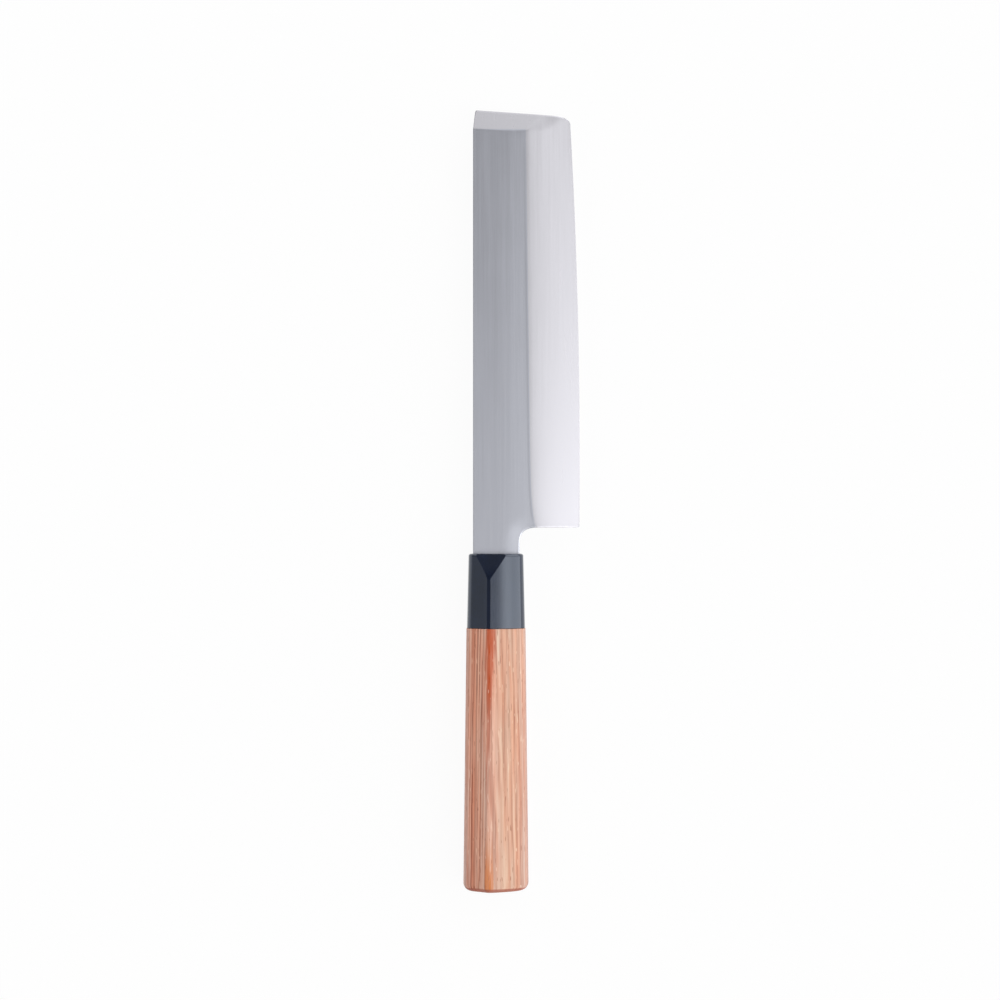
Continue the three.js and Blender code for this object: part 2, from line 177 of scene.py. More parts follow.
class HandleSizes(bpy.types.PropertyGroup):
    """Sizes of the ferrule and the wooden grip"""

    ferrule_length: length(
        "Ferrule Length", "Front face to the wood", FERRULE_HIGH.y - FERRULE_LOW.y
    )
    ferrule_front_width: length("Ferrule Front Width", "Width at its front", 22.4 * MM)
    ferrule_front_thickness: length("Ferrule Front Thickness", "Height at its front", 17.5 * MM)
    ferrule_back_width: length(
        "Ferrule Back Width", "Width at the wood", FERRULE_HIGH.x - FERRULE_LOW.x
    )
    ferrule_back_thickness: length(
        "Ferrule Back Thickness", "Height at the wood", FERRULE_HIGH.z - FERRULE_LOW.z
    )
    ferrule_round: length("Ferrule Round", "Rounding of its front rim", 0.9 * MM)
    ferrule_wall: length("Ferrule Wall", "Thickness of its front wall", 4 * MM)
    facet_length: length("Facet Length", "Flat ground off the ridge at the front", 11.3 * MM)
    facet_pitch: angle("Facet Pitch", "Fall of that flat to the front", 15.2)
    facet_roll: angle("Facet Roll", "Fall of that flat to the spine's side", 7.2)
    mouth_gap: length("Mouth Gap", "Room round the neck in the ferrule", 0.25 * MM)
    grip_length: length("Grip Length", "Length of the wood", GRIP_HIGH.y - GRIP_LOW.y)
    grip_front_width: length("Grip Front Width", "Width at the ferrule", 24.2 * MM)
    grip_front_thickness: length("Grip Front Thickness", "Height at the ferrule", 19 * MM)
    grip_butt_width: length("Grip Butt Width", "Width at the butt", BUTT_WIDTH)
    grip_butt_thickness: length("Grip Butt Thickness", "Height at the butt", BUTT_THICKNESS)
    butt_corner: length("Butt Corner", "Rounding of the butt's two corners, seen from above", 3 * MM)
    butt_rim: length("Butt Rim", "Rounding of the butt's rim above and below", 1.5 * MM)
    butt_slant: angle("Butt Slant", "Lean of the butt on the edge's side", 1.2)
    veneer_thickness: length("Veneer Thickness", "Thickness of one layer", VENEER_THICKNESS)
    tenon_width: length("Tenon Width", "Width of the wood inside the ferrule", 16.8 * MM)
    tenon_thickness: length("Tenon Thickness", "Height of the wood inside the ferrule", 11.6 * MM)
    bond_gap: length("Bond Gap", "Glue line between bonded pieces", 0.1 * MM)
    bed_wall: length("Bed Wall", "Room round the tang for its bed", 0.9 * MM)
    bed_end: length("Bed End", "Room past the end of the tang", 1.5 * MM)
    ridge_offset: share("Ridge Offset", "Ridge to the axis, as a share of half the width", 0.266)
    broad_slope: angle("Broad Facet Slope", "Fall of the broad facet at the ridge", 14)
    steep_slope: angle("Steep Facet Slope", "Fall of the steep facet at the ridge", 38)
    facet_reach: share("Facet Reach", "How far the facets stay straight", 0.72)
    side_fullness: share("Side Fullness", "How far the sides stay upright", 0.62)
    back_fullness: share("Back Fullness", "Squareness of the back", 0.6)
    ferrule_ridge: length("Ferrule Ridge", "Narrow flat along the ferrule's ridge", 1.5 * MM)
    grip_ridge: length("Grip Ridge", "Rounding along the wood's ridge", 3 * MM)


class KnifeFinish(bpy.types.PropertyGroup):
    """Colours of the knife"""

    flat_steel: colour("Flat Steel", "Brushed flat of the blade", 200, 202, 211)
    bevel_steel: colour("Bevel Steel", "Ground bevels of the blade", 208, 207, 213)
    back_steel: colour("Back Steel", "Hollow-ground back of the blade", 198, 200, 205)
    ferrule_black: colour("Ferrule Black", "Moulded ferrule", 8, 16, 34)
    wood_dark: colour("Wood, Dark Lines", "Dark lines of the wood's grain", 164, 104, 85)
    wood_middle: colour("Wood, Ground", "Ground colour of the wood", 223, 176, 160)
    wood_light: colour("Wood, Light Lines", "Light lines of the wood's grain", 245, 218, 202)
    wood_streak: colour("Wood, Red Streak", "Streak along the ridge, in front", 186, 76, 30)
    wood_amber: colour("Wood, Amber Streak", "Streak along the ridge, at the butt", 212, 126, 62)
    wood_end: colour("Wood, End Grain", "Wood across its fibres at the butt", 162, 90, 74)
    resin: colour("Resin", "Bed of the tang", 185, 160, 106)


class StageLook(bpy.types.PropertyGroup):
    """Floor, light and camera"""

    camera_height: length("Camera Height", "Camera above the blade", 1000 * MM)
    view_width: length("View Width", "What the picture spans at the blade", 409.9 * MM)
    view_x: FloatProperty(
        name="View X", description="Middle of the picture", default=-8.84 * MM, unit="LENGTH"
    )
    view_y: FloatProperty(
        name="View Y", description="Middle of the picture", default=-0.08 * MM, unit="LENGTH"
    )
    floor_colour: colour("Floor", "Colour of the floor", 240, 240, 240)


# Nodes


class Nodes:
    """A node tree under construction."""

    SPACING = 180

    def __init__(self, tree):
        self.tree = tree
        self.tree.nodes.clear()

    def add(self, kind, feeds=(), **settings):
        """A new node, its settings, and what feeds its inputs by name or number."""
        made = self.tree.nodes.new(kind)
        made.location = (self.SPACING * len(self.tree.nodes), 0)
        for name, value in settings.items():
            setattr(made, name, value)
        for key, value in dict(feeds).items():
            self.feed(made.inputs[key], value)
        return made

    def feed(self, socket, value):
        """Links a node's output to a socket, or sets the socket's own value."""
        if isinstance(value, bpy.types.NodeSocket):
            self.tree.links.new(value, socket)
        else:
            socket.default_value = value

    def math(self, operation, *values, clamp=False):
        """One sum on numbers or sockets."""
        made = self.add("ShaderNodeMath", enumerate(values), operation=operation, use_clamp=clamp)
        return made.outputs[0]

    def plus(self, first, second, clamp=False):
        """The sum of two values."""
        return self.math("ADD", first, second, clamp=clamp)

    def minus(self, first, second):
        """One value less another."""
        return self.math("SUBTRACT", first, second)

    def times(self, first, second):
        """The product of two values."""
        return self.math("MULTIPLY", first, second)

    def vector(self, operation, *values):
        """One sum on vectors or sockets."""
        return self.add("ShaderNodeVectorMath", enumerate(values), operation=operation).outputs[0]

    def combine(self, x=0.0, y=0.0, z=0.0):
        """A vector from its three parts."""
        return self.add("ShaderNodeCombineXYZ", {0: x, 1: y, 2: z}).outputs[0]

    def separate(self, vector):
        """The three parts of a vector."""
        return self.add("ShaderNodeSeparateXYZ", {0: vector}).outputs

    def ranged(self, value, low, high, to_low=0.0, to_high=1.0, smooth=False):
        """A value taken from one range to another and held at its ends."""
        made = self.add("ShaderNodeMapRange", {"Value": value})
        made.interpolation_type = "SMOOTHSTEP" if smooth else "LINEAR"
        for name, number in zip(("From Min", "From Max", "To Min", "To Max"),
                                (low, high, to_low, to_high)):
            self.feed(made.inputs[name], number)
        return made.outputs["Result"]

    def noise(self, vector, scale=1.0, detail=3.0, roughness=0.55):
        """A cloudy value between 0 and 1."""
        return self.add("ShaderNodeTexNoise", {
            "Vector": vector, "Scale": scale, "Detail": detail, "Roughness": roughness,
        }).outputs["Fac"]

    def ramp(self, value, stops):
        """A colour for each place along a value, from pairs of place and colour."""
        made = self.add("ShaderNodeValToRGB", {"Fac": value})
        elements = made.color_ramp.elements
        while len(elements) < len(stops):
            elements.new(1.0)
        for element, (place, shade) in zip(elements, stops):
            element.position = place
            element.color = (*shade, 1.0)
        return made.outputs["Color"]

    def mix(self, amount, first, second, blend="MIX"):
        """One colour over another."""
        made = self.add("ShaderNodeMix", data_type="RGBA", blend_type=blend)
        for name, value in (("Factor_Float", amount), ("A_Color", first), ("B_Color", second)):
            socket = next(s for s in made.inputs if s.identifier == name)
            if not isinstance(value, (bpy.types.NodeSocket, float)):
                value = (*value, 1.0)
            self.feed(socket, value)
        return next(s for s in made.outputs if s.identifier == "Result_Color")


def new_material(name):
    """A material with an empty tree, and the tree."""
    material = bpy.data.materials.new(name)
    material.use_nodes = True
    return material, Nodes(material.node_tree)


def object_place(nodes):
    """Where a point lies in the knife's own frame."""
    return nodes.add("ShaderNodeTexCoord").outputs["Object"]


def close_surface(nodes, shader):
    """Joins a shader to the material's output."""
    nodes.add("ShaderNodeOutputMaterial", {"Surface": shader.outputs[0]})


def bumped(nodes, height, distance, strength):
    """Normals of a surface with fine relief."""
    return nodes.add(
        "ShaderNodeBump", {"Height": height, "Distance": distance, "Strength": strength}
    ).outputs["Normal"]


def stretched(nodes, place, across, along, through=None):
    """A place scaled so that a texture's cells have given lengths across, along and through."""
    return nodes.vector("MULTIPLY", place, (1 / across, 1 / along, 1 / (through or across)))


def weighed(nodes, *parts):
    """The sum of values, each times its weight."""
    total = None
    for value, weight in parts:
        product = nodes.times(value, weight)
        total = product if total is None else nodes.plus(total, product)
    return total


# Steel: cells of its noises across and along the blade, and where the noises are read
SCRATCH_CELL = (0.45 * MM, 40 * MM)
BAND_CELL = (1.8 * MM, 110 * MM)
CLOUD_CELL = (9 * MM, 26 * MM)
SCRATCH_WEIGHT, BAND_WEIGHT, CLOUD_WEIGHT = 0.4, 0.35, 0.25
BRUSHING_LOW, BRUSHING_HIGH = 0.35, 0.65
NOISE_LOW, NOISE_HIGH = 0.3, 0.7
ROUGHNESS_SPREAD = 0.15
SCRATCH_DEPTH = 0.01 * MM
# Darkening of the painted shade line beside the bevel line, standing in for a dark reflection
BEVEL_LINE_PAINTED_SHADE = 0.8


def brushed_steel(name, tone, roughness, anisotropy, streak, relief):
    """Steel with fine scratches along the blade, and a painted shade line on the flat where it nears the
    bevel line, standing in for a dark reflection there.
    """
    material, nodes = new_material(name)
    place = object_place(nodes)
    scratches = nodes.noise(stretched(nodes, place, *SCRATCH_CELL))
    bands = nodes.noise(stretched(nodes, place, *BAND_CELL), detail=2.0)
    clouds = nodes.noise(stretched(nodes, place, *CLOUD_CELL))
    brushing = weighed(nodes, (scratches, SCRATCH_WEIGHT), (bands, BAND_WEIGHT), (clouds, CLOUD_WEIGHT))
    dull = [part * (1 - streak) for part in tone]
    bright = [min(1.0, part * (1 + streak)) for part in tone]
    shade = nodes.ramp(brushing, [(BRUSHING_LOW, dull), (BRUSHING_HIGH, bright)])
    # Painted shade line beside the bevel line, standing in for a dark reflection, read from the bevel_line
    # attribute
    line = nodes.add("ShaderNodeAttribute", attribute_name="bevel_line").outputs["Fac"]
    tangent = nodes.add("ShaderNodeTangent", direction_type="UV_MAP", uv_map="along_blade")
    steel = nodes.add("ShaderNodeBsdfPrincipled", {
        "Base Color": nodes.mix(line, shade, [part * BEVEL_LINE_PAINTED_SHADE for part in tone]),
        "Metallic": 1.0,
        "Roughness": nodes.ranged(brushing, NOISE_LOW, NOISE_HIGH, roughness * (1 - ROUGHNESS_SPREAD),
                                  roughness * (1 + ROUGHNESS_SPREAD)),
        "Anisotropic": anisotropy,
        "Tangent": tangent.outputs[0],
        "Normal": bumped(nodes, scratches, SCRATCH_DEPTH, relief),
    })
    close_surface(nodes, steel)
    return material


# Black resin: cells of its hairlines, noise scales, depth of its colour, gloss and relief
HAIRLINE_CELL = (0.3 * MM, 6 * MM)
WAVE_SCALE, DEPTH_SCALE = 220.0, 90.0
DEPTH_LOW, DEPTH_HIGH = 0.3, 0.75
LIGHTER_RESIN, LEAST_RESIN = 1.7, 0.001
RESIN_ROUGHNESS = (0.09, 0.15)
RESIN_INDEX = 1.9
RESIN_GLEAM = (0.8, 0.88, 1.0, 1.0)
HAIRLINE_DEPTH, HAIRLINE_RELIEF = 0.01 * MM, 0.12


def gloss_black(name, tone):
    """Moulded black resin with a polish and hairline scratches."""
    material, nodes = new_material(name)
    place = object_place(nodes)
    hairlines = nodes.noise(stretched(nodes, place, *HAIRLINE_CELL))
    waves = nodes.noise(place, scale=WAVE_SCALE, detail=2.0)
    depth = nodes.noise(place, scale=DEPTH_SCALE, detail=2.0)
    lighter = [min(1.0, part * LIGHTER_RESIN + LEAST_RESIN) for part in tone]
    resin = nodes.add("ShaderNodeBsdfPrincipled", {
        "Base Color": nodes.ramp(depth, [(DEPTH_LOW, tone), (DEPTH_HIGH, lighter)]),
        "Roughness": nodes.ranged(hairlines, NOISE_LOW, NOISE_HIGH, *RESIN_ROUGHNESS),
        "IOR": RESIN_INDEX,
        "Specular Tint": RESIN_GLEAM,
        "Normal": bumped(nodes, nodes.plus(hairlines, waves), HAIRLINE_DEPTH, HAIRLINE_RELIEF),
    })
    close_surface(nodes, resin)
    return material


# Adhesive: scale and shade of its clouds, roughness and relief
BED_SCALE, BED_SHADE = 160.0, 0.75
BED_ROUGHNESS = (0.35, 0.5)
BED_DEPTH, BED_RELIEF = 0.05 * MM, 0.3


def bed_resin(name, tone):
    """Cloudy adhesive round the tang."""
    material, nodes = new_material(name)
    clouds = nodes.noise(object_place(nodes), scale=BED_SCALE, detail=4.0)
    darker = [BED_SHADE * part for part in tone]
    resin = nodes.add("ShaderNodeBsdfPrincipled", {
        "Base Color": nodes.ramp(clouds, [(NOISE_LOW, darker), (NOISE_HIGH, tone)]),
        "Roughness": nodes.ranged(clouds, NOISE_LOW, NOISE_HIGH, *BED_ROUGHNESS),
        "Normal": bumped(nodes, clouds, BED_DEPTH, BED_RELIEF),
    })
    close_surface(nodes, resin)
    return material


# Wood: cells of its noises across, along and through the layers
WAVER_CELL = (12 * MM, 46 * MM, 12 * MM)
LINE_CELL = (5 * MM, 60 * MM, 0.42 * MM)
FIBRE_CELL = (0.5 * MM, 24 * MM, 0.5 * MM)
PATCH_CELL = (6 * MM, 40 * MM, 3 * MM)
DYE_CELL = (4 * MM, 45 * MM, 0.9 * MM)
PORE_CELL = (0.5 * MM, 4 * MM, 0.5 * MM)

# Weights of the grain's parts, their middle, and how far from it the dark and light lines lie
GROWTH_WEIGHT, LINE_WEIGHT, FIBRE_WEIGHT = 0.035, 0.28, 0.28
PATCH_WEIGHT, LAYER_WEIGHT = 0.08, 0.06
GRAIN_MIDDLE = 0.35
GRAIN_REACH = 0.09

# Under the steep facet and under the broad one, and where one passes into the other
GRAIN_CONTRAST = (0.8, 0.58)
SEAM_STRENGTH = (0.7, 0.2)
WAVER_HEIGHT = (0.4 * MM, 1.3 * MM)
FACET_CHANGE = (0.24, 0.61)

# Colours that multiply the grain: by its dye, and across the handle from the spine's side, the latter
# painted shade and sheen, redder on the spine's side and darker towards the edge's rim
DYE_HUES = [(0.36, (1.0, 0.87, 0.82)), (0.64, (0.93, 0.97, 1.0))]
SIDE_PAINTED_SHADE = [
    (0.03, (0.98, 0.98, 0.98)), (0.16, (1.0, 0.8, 0.66)), (0.38, (0.96, 0.94, 0.89)),
    (0.6, (0.9, 0.885, 0.775)), (0.82, (0.9, 0.885, 0.775)), (0.97, (0.745, 0.757, 0.745)),
]

# Pores, painted glints standing in for highlights off the pores, and end grain, then gloss and relief
PORE_NOISE, PORE_STRENGTH = (0.75, 0.8), 0.7
PAINTED_GLINT_NOISE, PAINTED_GLINT_STRENGTH = (0.25, 0.2), 0.6
END_GRAIN_FROM, END_GRAIN_TO, END_STRENGTH = 1.4 * MM, 1.7 * MM, 0.75
WOOD_ROUGHNESS = (0.55, 0.42)
WOOD_GLOSS = 0.2
FIBRE_DEPTH, FIBRE_RELIEF = 0.03 * MM, 0.25

# Glue lines: where they start and are full, off a layer's middle, and how the fibres break them
SEAM_PLACE = (0.38, 0.48)
SEAM_BREAKS = (0.35, 0.6, 0.3, 0.8)


def laminated_wood(name, finish, handle):
    """Layers of dyed wood: growth lines lie in the layers, with fibres and pores along them."""
    material, nodes = new_material(name)
    place = object_place(nodes)
    x, y, z = nodes.separate(place)
    half = handle.grip_butt_width / 2
    across = nodes.ranged(x, ORIGIN.x - half, ORIGIN.x + half)
    broad_side = nodes.ranged(across, *FACET_CHANGE, smooth=True)
    level = nodes.plus(z, layer_waver(nodes, place, broad_side))
    levelled = nodes.combine(x, y, level)
    layers = nodes.math("DIVIDE", nodes.minus(level, ORIGIN.z), handle.veneer_thickness)
    lines = nodes.noise(stretched(nodes, levelled, *LINE_CELL), detail=2.0)
    fibre = nodes.noise(stretched(nodes, place, *FIBRE_CELL), roughness=0.6)
    grain = wood_grain(nodes, finish, levelled, layers, lines, fibre, broad_side)
    seamed = nodes.mix(layer_seam(nodes, layers, fibre, broad_side), grain, finish.wood_dark)
    dye = nodes.noise(stretched(nodes, levelled, *DYE_CELL), detail=1.0)
    dyed = nodes.mix(1.0, seamed, nodes.ramp(dye, DYE_HUES), blend="MULTIPLY")
    red, amber = ridge_streaks(nodes, place, lines, fibre, handle)
    streaked = nodes.mix(amber, nodes.mix(red, dyed, finish.wood_streak), finish.wood_amber)
    pores = nodes.noise(stretched(nodes, place, *PORE_CELL), detail=0.0)
    pore = nodes.ranged(pores, *PORE_NOISE, 0.0, PORE_STRENGTH)
    # Painted glints: pale specks in the light lines' colour, standing in for highlights off glossy pores
    painted_glint = nodes.ranged(pores, *PAINTED_GLINT_NOISE, 0.0, PAINTED_GLINT_STRENGTH)
    glinted = nodes.mix(painted_glint, nodes.mix(pore, streaked, finish.wood_dark), finish.wood_light)
    # Painted shade and sheen across the handle, multiplied into the grain's colour
    painted_side_shade = nodes.mix(1.0, glinted, nodes.ramp(across, SIDE_PAINTED_SHADE), blend="MULTIPLY")
    end = nodes.ranged(y, GRIP_LOW.y + END_GRAIN_FROM, GRIP_LOW.y + END_GRAIN_TO, END_STRENGTH, 0.0)
    wood = nodes.add("ShaderNodeBsdfPrincipled", {
        "Base Color": nodes.mix(end, painted_side_shade, finish.wood_end),
        "Roughness": nodes.ranged(fibre, NOISE_LOW, NOISE_HIGH, *WOOD_ROUGHNESS),
        "Specular IOR Level": WOOD_GLOSS,
        "Normal": bumped(nodes, nodes.minus(fibre, pore), FIBRE_DEPTH, FIBRE_RELIEF),
    })
    close_surface(nodes, wood)
    return material


def wood_grain(nodes, finish, levelled, layers, lines, fibre, broad_side):
    """Colour of the grain, from growth lines, fibres, patches and a tone of each layer's own."""
    growth = nodes.math("SINE", nodes.times(layers, 2 * math.pi * LINES_PER_LAYER))
    patches = nodes.noise(stretched(nodes, levelled, *PATCH_CELL), detail=2.0)
    layer_tone = nodes.add("ShaderNodeTexWhiteNoise", {"W": nodes.math("FLOOR", layers)},
                           noise_dimensions="1D").outputs["Value"]
    tone = weighed(nodes, (growth, GROWTH_WEIGHT), (lines, LINE_WEIGHT), (fibre, FIBRE_WEIGHT),
                   (patches, PATCH_WEIGHT), (layer_tone, LAYER_WEIGHT))
    contrast = nodes.ranged(broad_side, 0.0, 1.0, *GRAIN_CONTRAST)
    toned = nodes.times(nodes.minus(tone, GRAIN_MIDDLE), contrast)
    return nodes.ramp(nodes.plus(toned, 0.5), [
        (0.5 - GRAIN_REACH, finish.wood_dark),
        (0.5, finish.wood_middle),
        (0.5 + GRAIN_REACH, finish.wood_light),
    ])


def layer_seam(nodes, layers, fibre, broad_side):
    """How strongly the glue line between two layers shows."""
    from_middle = nodes.math("ABSOLUTE", nodes.minus(nodes.math("FRACT", layers), 0.5))
    broken = nodes.ranged(fibre, *SEAM_BREAKS)
    by_facet = nodes.ranged(broad_side, 0.0, 1.0, *SEAM_STRENGTH)
    return nodes.times(nodes.ranged(from_middle, *SEAM_PLACE), nodes.times(broken, by_facet))


def layer_waver(nodes, place, broad_side):
    """How far the layers rise and fall: more under the broad facet than under the steep one."""
    waves = nodes.noise(stretched(nodes, place, *WAVER_CELL), detail=2.0)
    height = nodes.ranged(broad_side, 0.0, 1.0, *WAVER_HEIGHT)
    return nodes.times(nodes.minus(waves, 0.5), height)


# A streak on the crest, by distance from its end of the grip: where it is broadest and where it ends,
# how deep it reaches, where it is strong and where faint, its least strength, and its lean at both
Streak = namedtuple("Streak", "broad gone reach strong faint least first_lean last_lean")
RED_STREAK = Streak(8 * MM, 80 * MM, 0.57 * MM, 26 * MM, 38 * MM, 0.4, 0.0, 0.3)
AMBER_STREAK = Streak(4 * MM, 44 * MM, 0.56 * MM, 5 * MM, 28 * MM, 0.15, 0.06, 0.2)

# Both streaks: reach at the end, softness of the rim, fullness inside it, and breaks by the fibres
STREAK_END_REACH = 0.1 * MM
STREAK_SOFTNESS = 0.32 * MM
STREAK_FULLNESS = 0.7
STREAK_BREAKS = (0.38, 0.6, 0.5, 1.0)

# How ragged lines and fibres make the rim, and the middle of that
LINE_RAGGED, FIBRE_RAGGED, MEAN_RAGGED = 0.9 * MM, 1.3 * MM, 1.1 * MM


def ridge_streaks(nodes, place, lines, fibre, handle):
    """Where streaks show along the crest: one behind the ferrule and one before the butt."""
    x, y, z = nodes.separate(place)
    crest = nodes.ranged(y, GRIP_LOW.y, GRIP_HIGH.y, ORIGIN.z + handle.grip_butt_thickness / 2,
                         ORIGIN.z + handle.grip_front_thickness / 2)
    aside = nodes.minus(x, ORIGIN.x - handle.ridge_offset * handle.grip_front_width / 2)
    ragged = nodes.minus(weighed(nodes, (lines, LINE_RAGGED), (fibre, FIBRE_RAGGED)), MEAN_RAGGED)
    depth = nodes.plus(nodes.minus(crest, z), ragged)
    broken = nodes.ranged(fibre, *STREAK_BREAKS)
    shown = []
    for streak, away in (
        (RED_STREAK, nodes.minus(GRIP_HIGH.y, y)),
        (AMBER_STREAK, nodes.minus(y, GRIP_LOW.y)),
    ):
        limit = nodes.ranged(away, streak.broad, streak.gone, streak.reach, STREAK_END_REACH, smooth=True)
        lean = nodes.ranged(away, streak.broad, streak.faint, streak.first_lean, streak.last_lean)
        leaning = nodes.plus(depth, nodes.times(aside, lean))
        inside = nodes.math("DIVIDE", nodes.minus(limit, leaning), STREAK_SOFTNESS)
        amount = nodes.plus(inside, STREAK_FULLNESS, clamp=True)
        fading = nodes.ranged(away, streak.strong, streak.faint, 1.0, streak.least)
        shown.append(nodes.times(amount, nodes.times(broken, fading)))
    return shown


# Blade


# Turns of a quarter round at its points, in degrees
EASE_ANGLES = (0.0, 30.0, 60.0, 90.0)

# Least divisor, and how near the heel a point counts as on the blade
TINY = 1e-18
ON_LINE = 1e-9


def ease_offsets(radius):
    """Distances from a boundary at which a quarter round of this radius has its points."""
    return [radius * (1 - math.cos(math.radians(turn))) for turn in EASE_ANGLES]


def bezier(points, share_along):
    """A point on a cubic curve through two ends with two pulls."""
    a, b, c, d = points
    s, t = 1 - share_along, share_along
    return a * s ** 3 + b * (3 * s * s * t) + c * (3 * s * t * t) + d * t ** 3


def soft_min(first, second, blend):
    """The lower of two heights, with the crease between them rounded."""
    close = np.clip(1 - np.abs(first - second) / blend, 0, 1)
    return np.minimum(first, second) - close * close * blend / 4


def distance_to(points, line):
    """Distance of each point in plan from a line of points."""
    start, step = line[:-1], np.diff(line, axis=0)
    size = np.maximum((step ** 2).sum(1), TINY)
    away = points[:, None, :] - start[None]
    along = np.clip((away * step[None]).sum(2) / size, 0, 1)
    return np.sqrt(((away - along[..., None] * step[None]) ** 2).sum(2)).min(1)


class BladeRules:
    """Outline and faces of the blade, measured from ORIGIN."""

    # Steps along the tip's point, its line and its corner, the choil, the neck and the spine
    POINT_STEPS, LINE_STEPS, CORNER_STEPS = 10, 40, 240
    CHOIL_STEPS, NECK_STEPS, SPINE_STEPS = 400, 60, 30

    # Fullness of the rounded corners, and how late the choil is brought up to the heel
    CORNER_PULL = 0.65
    CHOIL_PULL = 0.8
    CHOIL_LIFT = 4

    # Wide bevel: how far and by how much it starts gently, and how it steepens to the edge
    GENTLE_RUN = 3.5 * MM
    GENTLE_SHARE = 0.3
    STEEPENING = 0.1

    # Creases: at the bevel line, and between both bevels by distance from that line
    CREASE = 0.07 * MM
    CORNER_CREASE_GROWTH = 0.11
    CORNER_CREASE = (0.01 * MM, 0.9 * MM)

    # Lean of the tip's bevel, and how wide the neck's fall fades before the bevel line
    TIP_LEAN = 0.065
    NECK_FALL_FADE = 8 * MM

    def __init__(self, sizes, shoulder):
        self.s = sizes
        self.spine = -sizes.spine_offset
        self.top = sizes.thickness / 2
        self.heel = sizes.neck_length
        self.edge_end = self.heel + sizes.edge_length
        self.tip_spine = self.edge_end + sizes.spine_reach
        self.tip_edge = self.edge_end + sizes.corner_rise
        self.tip_start = self.tip_spine - sizes.tip_bevel
        self.shoulder = -shoulder
        self.neck = self.spine + sizes.neck_width
        self.tip_outline = self.make_tip_outline()

    def edge_x(self, y):
        """The edge, a long arc."""
        radius = self.s.edge_radius
        ahead = y - self.heel - self.s.edge_belly
        return self.spine + self.s.height - radius + np.sqrt(radius ** 2 - ahead ** 2)

    def bevel_x(self, y):
        """The bevel line, nearly straight, with a swing at the heel."""
        along = (y - self.heel) / self.s.edge_length
        flat = self.s.flat_width_heel + (self.s.flat_width_tip - self.s.flat_width_heel) * along
        sweep = self.s.heel_sweep * np.exp(-np.maximum(y - self.heel, 0) / self.s.heel_sweep_length)
        return self.spine + flat + sweep

    def spine_x(self, y):
        """The spine, drawn in along the tip's bevel."""
        reach = self.tip_left_y() - self.tip_start
        return self.spine + self.s.spine_lean * np.clip((y - self.tip_start) / reach, 0, 1)

    def tip_line_y(self, x):
        """The straight line of the tip."""
        slope = (self.tip_edge - self.tip_spine) / (self.edge_x(self.edge_end) - self.spine)
        return self.tip_spine + slope * (x - self.spine)

    def tip_left_y(self):
        """That line at the spine."""
        return self.tip_line_y(self.spine + self.s.spine_lean)

    def make_tip_outline(self):
        """The tip from the spine to the end of the edge."""
        end = np.array([self.edge_x(self.edge_end), self.edge_end])
        start_x = end[0] - self.s.tip_corner
        start = np.array([start_x, self.tip_line_y(start_x)])
        corner = np.array([end[0], self.tip_line_y(end[0])])
        pulls = [p + (corner - p) * self.CORNER_PULL for p in (start, end)]
        left = self.spine + self.s.spine_lean
        point = self.s.tip_point
        turns = np.linspace(0, math.pi / 2, self.POINT_STEPS)
        line = [np.array([x, self.tip_line_y(x) - point * (1 - math.sin(turn))])
                for x, turn in zip(left + point * (1 - np.cos(turns)), turns)]
        straight = np.linspace(left + point, start_x, self.LINE_STEPS)[1:]
        line += [np.array([x, self.tip_line_y(x)]) for x in straight]
        shares = np.linspace(0, 1, self.CORNER_STEPS)[1:]
        return np.array(line + [bezier((start, *pulls, end), t) for t in shares])

    def tip_y(self, column):
        """Where a column, given as its x at each y, meets the tip."""
        off = self.tip_outline[:, 0] - column(self.tip_outline[:, 1])
        after = int(np.argmax(off >= 0)) if (off >= 0).any() else len(off) - 1
        if after == 0:
            return self.tip_outline[0, 1]
        part = off[after - 1] / min(off[after - 1] - off[after], -TINY)
        low, high = self.tip_outline[after - 1, 1], self.tip_outline[after, 1]
        return low + (high - low) * np.clip(part, 0, 1)

    def choil_curve(self, share_along):
        """The curve from the neck to the heel."""
        start = np.array([self.neck, self.heel - self.s.choil_drop])
        end = np.array([self.neck + self.s.choil_run, self.heel])
        corner = np.array([self.neck, self.heel])
        pulls = [p + (corner - p) * self.CHOIL_PULL for p in (start, end)]
        return bezier((start, *pulls, end), share_along)

    def choil(self, share_along):
        """That curve as far as the bevel line, where it is brought up to the heel."""
        shares = np.linspace(0, 1, self.CHOIL_STEPS)
        across = [self.choil_curve(t)[0] for t in shares]
        last = float(np.interp(self.bevel_x(self.heel), across, shares))
        x, y = self.choil_curve(share_along * last)
        short = self.heel - self.choil_curve(last)[1]
        return np.array([x, y + short * share_along ** self.CHOIL_LIFT])

    def bevel_drop(self, x, y):
        """Fall of the wide bevel below the flat: gentle at its upper line, then steady."""
        line, edge = self.bevel_x(y), self.edge_x(y)
        part = self.bevel_run(x - line, edge - line) / self.bevel_run(edge - line, edge - line)
        total = self.s.thickness - self.s.flat_fall - self.s.edge_land - self.s.edge_bevel_drop
        narrow = np.clip(1 - (edge - x) / self.s.edge_bevel, 0, 1)
        return self.s.flat_fall + part * total + self.s.edge_bevel_drop * narrow

    def bevel_run(self, away, width):
        """How much of the bevel's fall lies within a distance of its upper line."""
        past = np.maximum(away, 0)
        gentle = self.GENTLE_SHARE * self.GENTLE_RUN * (1 - np.exp(-past / self.GENTLE_RUN))
        beyond = away - gentle + self.STEEPENING * past ** 2 / width
        return np.where(away < 0, away * (1 - self.GENTLE_SHARE), beyond)

    def flat_drop(self, x, y):
        """Fall of the flat, which starts some way before the bevel line."""
        start = self.bevel_x(y) - self.s.flat_fall_width
        return self.s.flat_fall * np.maximum((x - start) / self.s.flat_fall_width, 0) ** 2

